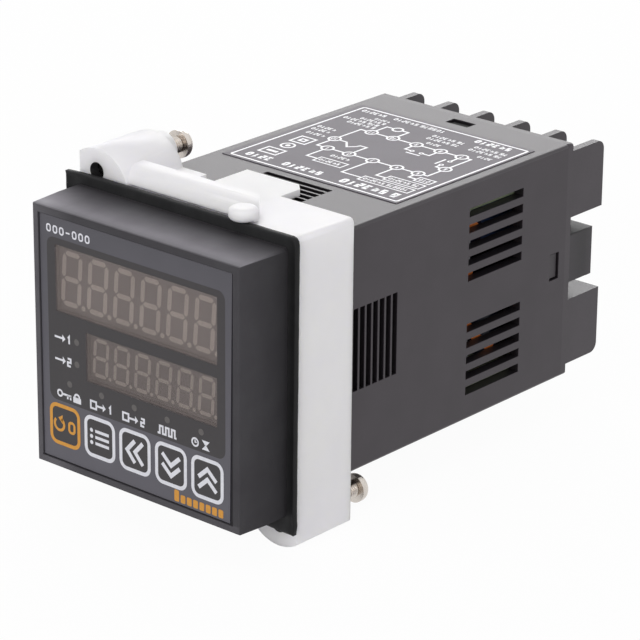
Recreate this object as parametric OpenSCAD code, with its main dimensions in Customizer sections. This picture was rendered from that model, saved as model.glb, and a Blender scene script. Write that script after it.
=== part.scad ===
// Panel counter: a square flush-mounting counter with two rows of digits, a five-key front,
// a deep case, a screw terminal block and a ratchet bracket that clamps it to its panel.
// Millimetres. X to the right, Y into the panel, Z up. The origin is the centre of the panel's
// front face, so the bezel lies at negative Y and the case at positive Y.

/* [Front] */
// How far the bezel's front stands out beyond the case on each side
bezel_lip = 1.25; // [1:0.05:3]
// How much further each side of the bezel stands out at the panel than at its front
bezel_draft = 0.4; // [0:0.1:0.6]
// Depth of the bezel in front of the panel
bezel_depth = 11.6; // [10:0.1:16]
// Radius of the bezel's four long edges
bezel_corner_round = 0.6; // [0.4:0.1:2]
// Radius of the bezel's front edges
bezel_edge_round = 0.4; // [0.3:0.1:1.2]
// Width of the raised rim round the front film
rim_width = 1.3; // [1.2:0.1:2]
// Depth of the recess that holds the front film
film_recess = 0.6; // [0.4:0.1:1]
// Thickness of the printed front film
film_thickness = 0.3; // [0.15:0.05:0.4]
// Mean gap between the film's edge and the recess
film_margin = 0.35; // [0.3:0.05:0.6]
// Angle by which the film was laid out of square
film_turn = 0.4; // [0:0.1:0.4]
// Thickness of the wall behind the film
front_wall = 1.6; // [1.2:0.1:2]

/* [Case] */
// Width and height of the case
case_size = 45.5; // [44.4:0.1:46]
// Length of the case behind the panel face
case_length = 78.9; // [76:0.1:90]
// Wall thickness of the case
case_wall = 2; // [1.6:0.1:2.4]
// Radius of the case's long edges
case_corner_round = 0.6; // [0.3:0.1:1.2]

/* [Displays] */
// Gap between the windows and the bezel's sides
window_side = 5.1; // [4.8:0.05:5.8]
// Gap between the upper window and the bezel's top
window_drop = 6.45; // [6:0.05:7]
// Gap between the two windows
window_gap = 2.25; // [1.8:0.05:2.8]
// Width of the lower display window
lower_window_width = 30.7; // [27:0.1:34]
// Height of the lower display window
lower_window_height = 8.95; // [8.2:0.05:9.4]
// Height of the lower window's middle above the lamp row
lower_window_rise = 6.31; // [6:0.01:6.6]
// Gap round each display in its window
window_clearance = 0.15; // [0.1:0.05:0.3]
// Depth of the display faces behind the recess floor
display_recess = 0.7; // [0.3:0.1:1.5]
// Depth of the display blocks
display_depth = 5.3; // [4.8:0.1:6]
// Gap above and below the upper digits in their window
upper_digit_margin = 1; // [0.8:0.1:2]
// Gap between two upper digits
upper_digit_gap = 1.43; // [1.3:0.01:2]
// Spare width at the two ends of the upper digit row
upper_row_spare = 0.42; // [0.4:0.01:1]
// Stroke of the upper digits
upper_digit_stroke = 0.95; // [0.6:0.05:1.1]
// Gap above and below the lower digits in their window
lower_digit_margin = 0.88; // [0.7:0.01:1.4]
// Gap between two lower digits
lower_digit_gap = 1.25; // [1.1:0.01:1.7]
// Spare width at the two ends of the lower digit row
lower_row_spare = 1; // [0.8:0.01:1.6]
// Stroke of the lower digits
lower_digit_stroke = 0.7; // [0.5:0.05:0.8]
// Slant of the digits
digit_slant = 4.3; // [0:0.1:8]
// Sideways offset of the digit rows, which leaves room for the last point
digit_row_shift = -0.38; // [-0.5:0.01:0]
// Depth of the digit inlays
digit_depth = 0.4; // [0.2:0.1:0.8]

/* [Lamps] */
// Diameter of the indicator lamps
lamp_diameter = 1.8; // [1.4:0.1:2]
// Gap round each lamp in the front wall
lamp_clearance = 0.15; // [0.1:0.05:0.3]
// Depth of the lamp tips behind the recess floor
lamp_recess = 0.15; // [0.1:0.05:0.5]
// Gap between the two side lamps' middles and the lower window
side_lamp_gap = 2.25; // [2:0.05:3]
// Height of the upper side lamp above the lower window's middle
side_lamp_rise = 2.1; // [1.8:0.01:2.4]
// Spacing of the two side lamps
side_lamp_pitch = 4.19; // [3.8:0.01:4.4]
// Height of the lamp row above the key row
lamp_row_rise = 8.17; // [8:0.01:8.4]
// Sideways place of the lamp row's middle
lamp_row_x = -0.37; // [-0.5:0.01:0.5]
// Spacing of the lamp row
lamp_pitch = 7.81; // [7.6:0.01:8]

/* [Keys] */
// Gap between two key plungers
key_gap = 1.45; // [1.4:0.05:2]
// Height of a key plunger
key_height = 7.6; // [6.5:0.1:7.8]
// Corner radius of a key plunger
key_corner_round = 1.4; // [0.8:0.1:2]
// Gap between the key row and the bezel's sides
key_row_side = 2.87; // [2.8:0.01:3.2]
// Sideways place of the key row's middle
key_row_x = -0.33; // [-0.5:0.01:0.5]
// Height of the key row above the bezel's bottom
key_row_rise = 8.15; // [8:0.01:8.4]
// Travel of a key
key_travel = 0.3; // [0.2:0.05:0.4]
// Gap round each key in the front wall
key_clearance = 0.15; // [0.1:0.05:0.2]
// Gap between a key and the film
key_film_gap = 0.05; // [0.02:0.01:0.15]
// Width of the flange that keeps a key behind the wall
key_flange = 0.45; // [0.3:0.05:0.5]
// Thickness of the key flange
key_flange_thickness = 0.6; // [0.4:0.1:0.8]
// How much narrower a key switch's body is than its key
switch_margin = 1; // [0.8:0.1:2]
// Diameter of a key switch's button
switch_button_diameter = 3.4; // [2.5:0.1:3.6]
// Thickness of a key switch's button
switch_button_height = 0.5; // [0.3:0.1:0.6]

/* [Boards] */
// Thickness of the circuit boards
board_thickness = 1.6; // [1:0.1:1.6]
// Gap between the boards and the case walls
board_margin = 0.3; // [0.2:0.05:0.6]
// Distance of the boards' middles from the case's top and bottom walls
board_inset = 3.75; // [3.5:0.05:4]
// Gap between the boards' rear edges and the terminal block
board_rear_gap = 0.3; // [0.2:0.1:0.8]
// Width of the board connectors
connector_width = 30; // [20:1:34]
// Side of the board connectors' square section
connector_size = 2.5; // [2:0.1:3]
// Side of the control chip
chip_size = 10; // [7:0.5:14]
// Thickness of the control chip
chip_thickness = 1.5; // [1:0.1:2.2]

/* [Power parts] */
// Gap between the transformer and the relays
transformer_gap = 1.8; // [1:0.1:6]
// Gap between the transformer's core and the boards' sides
core_margin = 1.7; // [1:0.1:4]
// Stack thickness of the transformer's core
core_stack = 12; // [9:0.5:14]
// Width of the core's outer limbs and half its middle limb
core_limb = 4.6; // [4:0.1:5]
// Gap between the coil and the core
coil_clearance = 0.25; // [0.2:0.05:0.4]
// How far the taped coil stands out of the core, front and rear
coil_overhang = 5; // [3:0.5:5]
// Width of a relay
relay_width = 15; // [12:0.5:16]
// Length of a relay
relay_length = 9; // [7:0.5:10]
// Height of a relay
relay_height = 10.5; // [8:0.5:11]
// Spacing of the two relays
relay_pitch = 16.4; // [16.2:0.1:18]
// Gap between the relays and the boards' rear edges
relay_rear_gap = 1; // [0.5:0.1:2]
// Diameter of the capacitors
capacitor_diameter = 8; // [6:0.5:9]
// Height of the capacitors
capacitor_height = 12; // [8:0.5:14]
// Spacing of the capacitors
capacitor_pitch = 12; // [10:0.5:13]

/* [Ratchet] */
// Number of ratchet slots on each side of the case
ratchet_count = 14; // [8:1:15]
// Spacing of the ratchet slots
ratchet_pitch = 1.745; // [1.6:0.005:1.9]
// Width of a ratchet slot
ratchet_slot = 1.28; // [1:0.01:1.35]
// Length of a ratchet slot across the case
ratchet_length = 15.3; // [12:0.1:18]
// Depth of a ratchet slot
ratchet_depth = 1.2; // [0.6:0.1:1.4]
// Rear edge of the last slot behind the panel face
ratchet_end = 30.65; // [29:0.05:32]

/* [Vents] */
// Front end of the vents behind the panel face
vent_start = 50.3; // [45:0.1:54]
// Length of a vent
vent_length = 15.5; // [10:0.1:18]
// Height of a vent
vent_height = 1.65; // [1.2:0.05:2]
// Spacing of the vents
vent_pitch = 3.04; // [2.8:0.01:3.1]
// Number of vents in a group
vent_count = 5; // [3:1:5]
// Distance of a vent group from the middle of the side
vent_group_start = 4.05; // [3.5:0.05:4.5]

/* [Label] */
// Gap between the rating label and the case's sides
label_margin = 2.3; // [1:0.05:5]
// Gap between the label and the rear end of the case
label_rear_gap = 7.2; // [6:0.05:15]
// Front edge of the label behind the panel face
label_start = 32.65; // [32.4:0.05:34]
// Thickness of the label
label_thickness = 0.12; // [0.08:0.01:0.2]

/* [Terminal block] */
// Thickness of the flange that closes the case
flange_thickness = 1.5; // [1.2:0.1:2]
// Length of the skirt inside the case
skirt_length = 6; // [5.2:0.1:7]
// Wall of the skirt
skirt_wall = 1.6; // [1.2:0.1:1.7]
// Gap between the skirt and the case
skirt_clearance = 0.2; // [0.1:0.05:0.25]
// Number of terminals in a row
terminal_count = 5; // [3:1:5]
// Gap between the end fins and the case's sides
row_side = 0.45; // [0.1:0.05:1]
// Thickness of the fins between the terminals
fin_thickness = 1.6; // [1:0.1:1.8]
// How far the fins stand out of the flange
fin_length = 10.1; // [9.6:0.1:12]
// Corner radius of the fins
fin_round = 1.8; // [0.5:0.1:2.4]
// Gap between a terminal row and the case's top or bottom
row_margin = 1.75; // [0.9:0.05:1.9]
// Height of a terminal row
row_height = 12.9; // [12:0.1:13.4]
// Thickness of the shelf along a row's inner edge
shelf_thickness = 1.2; // [0.8:0.1:1.6]
// Height of the terminal seats above the flange
seat_height = 3.4; // [3:0.1:4]
// Width of the middle rail's plate
rail_width = 9.4; // [8:0.1:10]
// Thickness of the middle rail's plate
rail_thickness = 1.6; // [1.2:0.1:2]
// Standoff of the rail's plate from the flange
rail_standoff = 5.8; // [5:0.1:7]
// Thickness of the rail's web
rail_web = 2.4; // [1.6:0.1:3]
// Width of a latch window in the case
latch_width = 5.2; // [4:0.1:7]
// Length of a latch window
latch_length = 2.7; // [2.2:0.1:3]
// Gap between a latch window and the rear end of the case
latch_rear_gap = 1.8; // [1.6:0.1:2.2]
// Gap round a latch tooth in its window
latch_clearance = 0.3; // [0.2:0.05:0.5]
// How far a latch tooth stays below the case's outside
latch_set_back = 0.4; // [0.2:0.1:0.8]

/* [Terminals] */
// Thread diameter of the terminal screws
terminal_screw_diameter = 3; // [2.5:0.1:3.2]
// Gap round a terminal screw's thread
terminal_screw_clearance = 0.1; // [0.05:0.05:0.2]
// Head diameter of the terminal screws
terminal_head_diameter = 5.6; // [5:0.1:6]
// Head height of the terminal screws
terminal_head_height = 2; // [1.5:0.1:2.4]
// Thread length of the terminal screws below the clamp plates
terminal_screw_length = 5; // [3.5:0.1:5]
// Gap between a square clamp plate and the fins beside it
plate_clearance = 0.4; // [0.3:0.05:0.6]
// Thickness of a clamp plate
clamp_plate_thickness = 0.9; // [0.6:0.1:1.2]
// Thickness of a terminal contact's sheet
contact_thickness = 0.8; // [0.5:0.1:0.8]
// Width of a contact's tail
contact_tail_width = 4; // [2.5:0.1:5]
// How far a contact's tail lies on its board
contact_tail_overlap = 7; // [4:0.5:10]
// Gap round a contact's tail in the terminal block
contact_clearance = 0.1; // [0.05:0.05:0.1]

/* [Gasket] */
// How far the panel gasket reaches beyond the case on each side
gasket_border = 3.65; // [2.5:0.05:4.5]
// Thickness of the gasket
gasket_thickness = 1.2; // [0.8:0.1:2]
// Corner radius of the gasket
gasket_round = 1.2; // [0.8:0.1:3]
// Gap between the gasket and the case
gasket_clearance = 0.3; // [0.1:0.05:0.5]

/* [Bracket] */
// Gap between the bracket and the gasket
bracket_gap = 0.3; // [0.2:0.1:3]
// Depth of the bracket's frame
bracket_depth = 14.1; // [11:0.1:14.5]
// Mean gap between the bracket and the case
bracket_clearance = 0.5; // [0.4:0.05:0.6]
// How far the loose bracket hangs below the middle of the case
bracket_drop = 0; // [0:0.05:0.35]
// Wall of the bracket's left and right sides
bracket_side_wall = 2.15; // [1.8:0.05:3]
// Wall of the bracket's top and bottom
bracket_top_wall = 2.6; // [2.4:0.1:3.4]
// Radius of the bracket's outer long edges
bracket_round = 1; // [0.5:0.1:1.6]
// Depth of the bar that ties the frame in front of the pawl
tie_depth = 2.8; // [2:0.1:3]
// How far a clamp screw's axis lies inside the frame's side
clamp_inset = 4.15; // [3.9:0.05:4.6]
// Height of a clamp screw's axis above the frame
clamp_rise = 1.1; // [1:0.05:1.6]
// Radius of the broad round corner that holds a clamp screw
clamp_corner_round = 7.6; // [6.8:0.1:8]
// How far that corner reaches beyond the clamp screw's axis
clamp_corner_rise = 4.15; // [3.6:0.05:4.4]
// Outside diameter of the upper clamp screw's boss
boss_diameter = 6.6; // [6:0.1:6.8]
// How far the upper boss stands out behind the frame
boss_overhang = 2.8; // [1.5:0.1:4]
// Depth of the spring arm
arm_depth = 6; // [5:0.1:6.4]
// Radius of the arm's rounded front
arm_round = 4.4; // [3.6:0.1:4.6]
// Height of the arm's top above the frame
arm_rise = 2.95; // [2.4:0.05:3.2]
// Slit between the arm and the frame
arm_slit = 0.4; // [0.3:0.05:0.5]
// How far the axis of the nose at the end of the arm lies inside the frame's side
nose_inset = 12; // [11:0.1:14]
// Radius of the nose
nose_radius = 2.6; // [2:0.1:3]
// Rounding of the nose's edges
nose_round = 1; // [0.3:0.1:1]
// How far the nose's axis lies in front of the bracket's front
nose_lead = 0.3; // [0:0.1:0.8]
// How far the arm's rear corner lies short of the nose's axis
nose_heel = 2.1; // [1:0.1:3]
// Gap between the nose and the gasket's edge
nose_gap = 0.1; // [0.1:0.05:0.3]
// Width of the pawl tongue
pawl_width = 13.9; // [11:0.1:14.5]
// Thickness of the pawl tongue
pawl_thickness = 1.3; // [1:0.1:1.6]
// How far the pawl tongue reaches behind the frame
pawl_overhang = 8.9; // [6:0.1:10.5]
// Gap between the pawl and the frame beside it
pawl_side_gap = 1.45; // [0.8:0.05:2]
// Thickness of the web that carries the pawl
pawl_web = 1.9; // [1.4:0.1:2.2]
// Corner cut on the pawl's free end
pawl_chamfer = 1.7; // [0.8:0.1:2]
// Height of the teeth under the pawl
tooth_height = 0.55; // [0.4:0.05:0.7]
// Gap between the lifted pawl teeth and the case
tooth_clearance = 0.25; // [0.2:0.05:0.4]
// Number of teeth under a pawl
tooth_count = 3; // [2:1:4]

/* [Clamp screws] */
// Thread diameter of the clamp screws
clamp_diameter = 3; // [2.5:0.1:3.2]
// Gap round a clamp screw in its boss
clamp_clearance = 0.12; // [0.08:0.01:0.2]
// Length of a clamp screw below its head
clamp_length = 19; // [18:0.5:22]
// How far the upper screw's tip lies behind the bracket's front
clamp_upper_out = 1.3; // [0.2:0.1:2]
// How far the lower screw's tip lies behind the bracket's front
clamp_lower_out = 0.5; // [0.2:0.1:2]
// Diameter of a clamp screw's head
clamp_head_diameter = 5.2; // [5:0.1:6]
// Height of a clamp screw's head
clamp_head_height = 2; // [1.6:0.1:2.4]
// Width of the cross cut in a screw head
cross_width = 1; // [0.6:0.1:1.2]
// Depth of the cross cut in a screw head
cross_depth = 1.1; // [0.6:0.1:1.3]

/* [Hidden] */

// Segments for true round features, and how far a cut runs past a face
$fn = 48;
cut_margin = 1;
digits_in_row = 6;
key_names = ["reset", "mode", "left", "down", "up"];
lamps_in_row = len(key_names);

// Front, laid out from the bezel's four sides
front_size = case_size + 2 * bezel_lip;
panel_side_size = front_size + 2 * bezel_draft;
key_pitch = (front_size - 2 * key_row_side) / len(key_names);
key_width = key_pitch - key_gap;
switch_size = key_width - switch_margin;
key_row_z = key_row_rise - front_size / 2;
lamp_row_z = key_row_z + lamp_row_rise;
window_right = front_size / 2 - window_side;
lower_window_x = window_right - lower_window_width / 2;
lower_window_z = lamp_row_z + lower_window_rise;
side_lamp_x = window_right - lower_window_width - side_lamp_gap;
side_lamp_z = lower_window_z + side_lamp_rise;
upper_window_width = 2 * window_right;
upper_window_top = front_size / 2 - window_drop;
upper_window_bottom = lower_window_z + lower_window_height / 2 + window_gap;
upper_window_height = upper_window_top - upper_window_bottom;
upper_window_z = (upper_window_top + upper_window_bottom) / 2;
upper_digit_height = upper_window_height - 2 * upper_digit_margin;
upper_digit_pitch = (upper_window_width - upper_row_spare) / digits_in_row;
upper_digit_width = upper_digit_pitch - upper_digit_gap;
lower_digit_height = lower_window_height - 2 * lower_digit_margin;
lower_digit_pitch = (lower_window_width - lower_row_spare) / digits_in_row;
lower_digit_width = lower_digit_pitch - lower_digit_gap;

// Front stack, from the rim inwards
front_y = -bezel_depth;
recess_y = front_y + film_recess;
wall_rear_y = recess_y + front_wall;
recess_size = front_size - 2 * rim_width;
film_size = recess_size - 2 * film_margin;
display_face_y = recess_y + display_recess;
board_front_y = display_face_y + display_depth;
board_rear_y = board_front_y + board_thickness;
inner_size = case_size - 2 * case_wall;
board_size = inner_size - 2 * board_margin;
key_face_y = recess_y + key_film_gap;
flange_front_y = wall_rear_y + key_clearance;
flange_rear_y = flange_front_y + key_flange_thickness;
pocket_rear_y = flange_rear_y + key_travel + key_clearance;

// Rear stack
flange_y = case_length;
fin_root_y = flange_y + flange_thickness;
seat_y = fin_root_y + seat_height;
fin_end_y = fin_root_y + fin_length;
skirt_size = inner_size - 2 * skirt_clearance;
skirt_front_y = flange_y - skirt_length;
row_width = case_size - 2 * row_side;
terminal_pitch = (row_width - fin_thickness) / terminal_count;
clamp_plate_size = terminal_pitch - fin_thickness - 2 * plate_clearance;
board_z = inner_size / 2 - board_inset;
row_outer = case_size / 2 - row_margin;
row_inner = row_outer - row_height;
row_middle = (row_inner + shelf_thickness + board_z) / 2;
board_end_y = skirt_front_y - board_rear_gap;
contact_outer = board_z + board_thickness / 2 + contact_thickness;
latch_end_y = case_length - latch_rear_gap;
latch_start_y = latch_end_y - latch_length;
plate_y = seat_y + contact_thickness;
head_y = plate_y + clamp_plate_thickness;

// Power parts between the boards
board_inner_z = board_z - board_thickness / 2;
core_width = board_size - 2 * core_margin;
core_height = 2 * board_inner_z;
core_window_width = core_width / 2 - 2 * core_limb;
core_window_height = core_height - 2 * core_limb;
coil_half_width = core_limb + core_window_width - coil_clearance;
coil_half_length = core_stack / 2 + coil_overhang;
relay_rear_y = board_end_y - relay_rear_gap;
transformer_y = relay_rear_y - relay_length - transformer_gap - coil_half_length;

// Label and gasket
label_width = case_size - 2 * label_margin;
label_end_y = case_length - label_rear_gap;
gasket_size = case_size + 2 * gasket_border;

// Bracket, in a frame whose origin is the bracket's own middle
bracket_y = gasket_thickness + bracket_gap;
bracket_rear_y = bracket_y + bracket_depth;
opening_size = case_size + 2 * bracket_clearance;
frame_width = opening_size + 2 * bracket_side_wall;
frame_height = opening_size + 2 * bracket_top_wall;
clamp_x = frame_width / 2 - clamp_inset;
clamp_z = frame_height / 2 + clamp_rise;
nose_x = frame_width / 2 - nose_inset;
arm_reach = nose_x - nose_heel;
arm_top = frame_height / 2 + arm_rise;
arm_bottom = frame_height / 2 + arm_slit;
arm_rear_y = bracket_y + arm_depth;
nose_y = bracket_y - nose_lead;
nose_flank = nose_radius * sin(45);
nose_bottom = max(arm_bottom, gasket_size / 2 + nose_gap + bracket_drop);
clamp_corner_top = clamp_z + clamp_corner_rise;
boss_rear_y = bracket_rear_y + boss_overhang;
pawl_tip = case_size / 2 + tooth_clearance + bracket_drop;
pawl_bottom = pawl_tip + tooth_height;
pawl_end_y = bracket_rear_y + pawl_overhang;
pawl_gap_half = pawl_width / 2 + pawl_side_gap;

// Extrusions of a drawing along one axis: X and Z along Y, Y and Z along X, X and Y along Z
module along_y(start, end)
    translate([0, end, 0]) rotate([90, 0, 0]) linear_extrude(end - start) children();

module along_x(start, end)
    translate([start, 0, 0]) rotate([90, 0, 90]) linear_extrude(end - start) children();

module along_z(start, end)
    translate([0, 0, start]) linear_extrude(end - start) children();

// A rectangle between two corners
module span(low, high)
    translate(low) square(high - low);

// A centred rectangle with rounded corners
module round_rect(width, height, radius) {
    square([width - 2 * radius, height], center = true);
    square([width, height - 2 * radius], center = true);
    for (sx = [-1, 1], sy = [-1, 1])
        translate([sx * (width / 2 - radius), sy * (height / 2 - radius)]) circle(radius);
}

// Side view of a block whose front corners are rounded and that widens to the rear
module front_rounded(start, end, size, radius, draft) {
    polygon([[start + radius, -size / 2], [end, -size / 2 - draft],
        [end, size / 2 + draft], [start + radius, size / 2]]);
    span([start, radius - size / 2], [end, size / 2 - radius]);
    for (side = [-1, 1])
        translate([start + radius, side * (size / 2 - radius)]) circle(radius);
}

// Places that repeat
function key_x(i) = key_row_x + (i - (len(key_names) - 1) / 2) * key_pitch;
function lamp_places() = concat(
    [for (i = [0:1]) [side_lamp_x, side_lamp_z - i * side_lamp_pitch]],
    [for (i = [0:lamps_in_row - 1]) [lamp_row_x + (i - (lamps_in_row - 1) / 2) * lamp_pitch, lamp_row_z]]);
function terminal_x(i) = (i - (terminal_count - 1) / 2) * terminal_pitch;
function digit_x(i, pitch) = digit_row_shift + (i - (digits_in_row - 1) / 2) * pitch;

module at_lamps()
    for (place = lamp_places()) translate([place.x, 0, place.y]) children();

module at_terminals()
    for (row = [0, 1], i = [0:terminal_count - 1])
        mirror([0, 0, row]) translate([terminal_x(i), 0, 0]) children();

module four_sides()
    for (turn = [0:90:270]) rotate([0, turn, 0]) children();

// Housing: bezel and case are one moulding, open at the rear
module bezel_sides()
    along_x(-front_size, front_size)
        front_rounded(front_y, 0, front_size, bezel_edge_round, bezel_draft);

module bezel_block()
    intersection() {
        along_y(front_y, 0) round_rect(panel_side_size, panel_side_size, bezel_corner_round);
        bezel_sides();
        rotate([0, 90, 0]) bezel_sides();
    }

module ratchet_cuts()
    along_z(case_size / 2 - ratchet_depth, case_size / 2 + cut_margin)
        for (i = [0:ratchet_count - 1])
            span([-ratchet_length / 2, ratchet_end - i * ratchet_pitch - ratchet_slot],
                [ratchet_length / 2, ratchet_end - i * ratchet_pitch]);

module latch_window()
    along_z(inner_size / 2 - cut_margin, case_size / 2 + cut_margin)
        span([-latch_width / 2, latch_start_y], [latch_width / 2, latch_end_y]);

module vent_cuts()
    along_x(-case_size, case_size)
        for (side = [0, 1], i = [0:vent_count - 1])
            mirror([0, side])
                translate([vent_start, vent_group_start + i * vent_pitch]) square([vent_length, vent_height]);

module front_openings()
    along_y(front_y, wall_rear_y + key_clearance) {
        translate([0, upper_window_z]) square([upper_window_width, upper_window_height], center = true);
        translate([lower_window_x, lower_window_z])
            square([lower_window_width, lower_window_height], center = true);
        for (i = [0:len(key_names) - 1])
            translate([key_x(i), key_row_z])
                round_rect(key_width + 2 * key_clearance, key_height + 2 * key_clearance,
                    key_corner_round + key_clearance);
    }

// Room behind the front wall for the flanges of the keys
module key_pockets()
    along_y(wall_rear_y, pocket_rear_y)
        for (i = [0:len(key_names) - 1])
            translate([key_x(i), key_row_z])
                round_rect(key_width + 2 * (key_flange + key_clearance),
                    key_height + 2 * (key_flange + key_clearance),
                    key_corner_round + key_flange + key_clearance);

module lamp_holes()
    at_lamps() along_y(front_y, wall_rear_y + cut_margin) circle(lamp_diameter / 2 + lamp_clearance);

module housing()
    color([0.29, 0.28, 0.3]) difference() {
        union() {
            bezel_block();
            along_y(-cut_margin, case_length) round_rect(case_size, case_size, case_corner_round);
        }
        along_y(front_y - cut_margin, recess_y) square(recess_size, center = true);
        along_y(wall_rear_y, case_length + cut_margin) square(inner_size, center = true);
        front_openings();
        key_pockets();
        lamp_holes();
        vent_cuts();
        four_sides() ratchet_cuts();
        four_sides() latch_window();
    }

// Printed film, laid a little out of square in its recess
module front_film()
    color([0.4, 0.4, 0.43])
        rotate([0, film_turn, 0])
            along_y(recess_y - film_thickness, recess_y) square(film_size, center = true);

// Displays: a grey block with light inlays for the digits
function slanted(point) = [point.x + point.y * tan(digit_slant), point.y];

// Seven bars, each a flat bar with pointed ends, as [centre x, centre y, upright, half length]
function digit_bars(width, height, stroke) =
    let(half_w = (width - stroke) / 2, half_h = (height - stroke) / 2, gap = stroke / 6)
        [for (y = [-half_h, 0, half_h]) [0, y, false, half_w - gap],
            for (x = [-half_w, half_w], y = [-half_h / 2, half_h / 2]) [x, y, true, half_h / 2 - gap]];

function bar_outline(half_length, stroke) = let(half = stroke / 2)
    [[-half_length, 0], [half - half_length, half], [half_length - half, half],
        [half_length, 0], [half_length - half, -half], [half - half_length, -half]];

module digit(width, height, stroke) {
    for (bar = digit_bars(width, height, stroke))
        polygon([for (p = bar_outline(bar[3], stroke))
            slanted([bar[0] + (bar[2] ? p.y : p.x), bar[1] + (bar[2] ? p.x : p.y)])]);
    translate(slanted([width / 2 + stroke * 0.7, (stroke - height) / 2])) circle(stroke / 2);
}

module digit_row(width, height, pitch, stroke)
    along_y(display_face_y, display_face_y + digit_depth)
        for (i = [0:digits_in_row - 1])
            translate([digit_x(i, pitch), 0]) digit(width, height, stroke);

module display_block(width, height)
    along_y(display_face_y, board_front_y)
        square([width - 2 * window_clearance, height - 2 * window_clearance], center = true);

module upper_digit_row()
    translate([0, 0, upper_window_z])
        digit_row(upper_digit_width, upper_digit_height, upper_digit_pitch, upper_digit_stroke);

module lower_digit_row()
    translate([lower_window_x, 0, lower_window_z])
        digit_row(lower_digit_width, lower_digit_height, lower_digit_pitch, lower_digit_stroke);

module upper_display()
    color([0.43, 0.4, 0.38]) difference() {
        translate([0, 0, upper_window_z]) display_block(upper_window_width, upper_window_height);
        upper_digit_row();
    }

module upper_digits()
    color([0.52, 0.48, 0.45]) upper_digit_row();

module lower_display()
    color([0.43, 0.4, 0.38]) difference() {
        translate([lower_window_x, 0, lower_window_z])
            display_block(lower_window_width, lower_window_height);
        lower_digit_row();
    }

module lower_digits()
    color([0.5, 0.46, 0.43]) lower_digit_row();

module indicator_lamps()
    color([0.45, 0.43, 0.42])
        at_lamps() along_y(recess_y + lamp_recess, board_front_y) circle(lamp_diameter / 2);

// Keys: plungers behind the film, kept by a flange behind the front wall
module key(i)
    color([0.3, 0.3, 0.32]) translate([key_x(i), 0, key_row_z]) {
        along_y(key_face_y, flange_rear_y) round_rect(key_width, key_height, key_corner_round);
        along_y(flange_front_y, flange_rear_y)
            round_rect(key_width + 2 * key_flange, key_height + 2 * key_flange,
                key_corner_round + key_flange);
    }

module key_reset() key(0);
module key_mode() key(1);
module key_left() key(2);
module key_down() key(3);
module key_up() key(4);

module key_switches()
    color([0.15, 0.15, 0.16])
        for (i = [0:len(key_names) - 1])
            translate([key_x(i), 0, key_row_z]) {
                along_y(pocket_rear_y + switch_button_height, board_front_y)
                    square(switch_size, center = true);
                along_y(pocket_rear_y, board_front_y) circle(switch_button_diameter / 2);
            }

// Circuit boards
module display_board()
    color([0.25, 0.42, 0.3])
        along_y(board_front_y, board_rear_y) square(board_size, center = true);

module level_board()
    along_z(board_inner_z, board_inner_z + board_thickness)
        span([-board_size / 2, board_rear_y], [board_size / 2, board_end_y]);

module upper_board()
    color([0.25, 0.42, 0.3]) level_board();

module lower_board()
    color([0.25, 0.42, 0.3]) mirror([0, 0, 1]) level_board();

module control_chip()
    color([0.12, 0.12, 0.13])
        along_y(board_rear_y, board_rear_y + chip_thickness) square(chip_size, center = true);

module board_connectors()
    color([0.1, 0.1, 0.1])
        for (row = [0, 1])
            mirror([0, 0, row])
                along_x(-connector_width / 2, connector_width / 2)
                    span([board_rear_y, board_inner_z - connector_size],
                        [board_rear_y + connector_size, board_inner_z]);

// Transformer: a three-limbed core between the boards, with a taped coil on its middle limb
module transformer_core()
    color([0.45, 0.45, 0.46])
        along_y(transformer_y - core_stack / 2, transformer_y + core_stack / 2)
            difference() {
                square([core_width, core_height], center = true);
                for (side = [-1, 1])
                    translate([side * (core_limb + core_window_width / 2), 0])
                        square([core_window_width, core_window_height], center = true);
            }

module transformer_coil()
    color([0.75, 0.42, 0.12])
        along_z(coil_clearance - core_window_height / 2, core_window_height / 2 - coil_clearance)
            translate([0, transformer_y])
                difference() {
                    round_rect(2 * coil_half_width, 2 * coil_half_length, coil_overhang / 2);
                    square([2 * core_limb, core_stack] + 2 * coil_clearance * [1, 1], center = true);
                }

module relays()
    color([0.16, 0.2, 0.3])
        for (side = [-1, 1])
            along_z(board_inner_z - relay_height, board_inner_z)
                translate([side * relay_pitch / 2, relay_rear_y - relay_length / 2])
                    square([relay_width, relay_length], center = true);

module capacitors()
    color([0.12, 0.14, 0.2])
        for (i = [-1:1])
            translate([i * capacitor_pitch, relay_rear_y - capacitor_diameter / 2, -board_inner_z])
                cylinder(h = capacitor_height, d = capacitor_diameter);

module rating_label()
    color([0.45, 0.45, 0.47])
        along_z(case_size / 2, case_size / 2 + label_thickness)
            span([-label_width / 2, label_start], [label_width / 2, label_end_y]);

// Terminal block: a flange and skirt that close the case, with two finned rows and a middle rail
module fin_profile() {
    span([fin_root_y, row_inner], [fin_end_y - fin_round, row_outer]);
    span([fin_root_y, row_inner], [fin_end_y, row_outer - fin_round]);
    translate([fin_end_y - fin_round, row_outer - fin_round]) circle(fin_round);
}

module terminal_row() {
    for (i = [0:terminal_count])
        translate([terminal_x(i - 0.5), 0, 0]) along_x(-fin_thickness / 2, fin_thickness / 2) fin_profile();
    along_x(-row_width / 2, row_width / 2) {
        span([flange_y, row_inner], [fin_end_y, row_inner + shelf_thickness]);
        span([flange_y, row_inner], [seat_y, row_outer - fin_round]);
    }
}

module contact_slots()
    at_terminals()
        along_y(skirt_front_y - cut_margin, seat_y + cut_margin)
            translate([0, contact_outer - contact_thickness / 2])
                square([contact_tail_width, contact_thickness] + 2 * contact_clearance * [1, 1], center = true);

module terminal_holes()
    at_terminals()
        translate([0, 0, row_middle])
            along_y(seat_y - terminal_screw_length, seat_y + cut_margin)
                circle(terminal_screw_diameter / 2 + terminal_screw_clearance);

module latch_tooth()
    along_z(skirt_size / 2 - skirt_wall, case_size / 2 - latch_set_back)
        span([latch_clearance - latch_width / 2, latch_start_y + latch_clearance],
            [latch_width / 2 - latch_clearance, latch_end_y - latch_clearance]);

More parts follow.
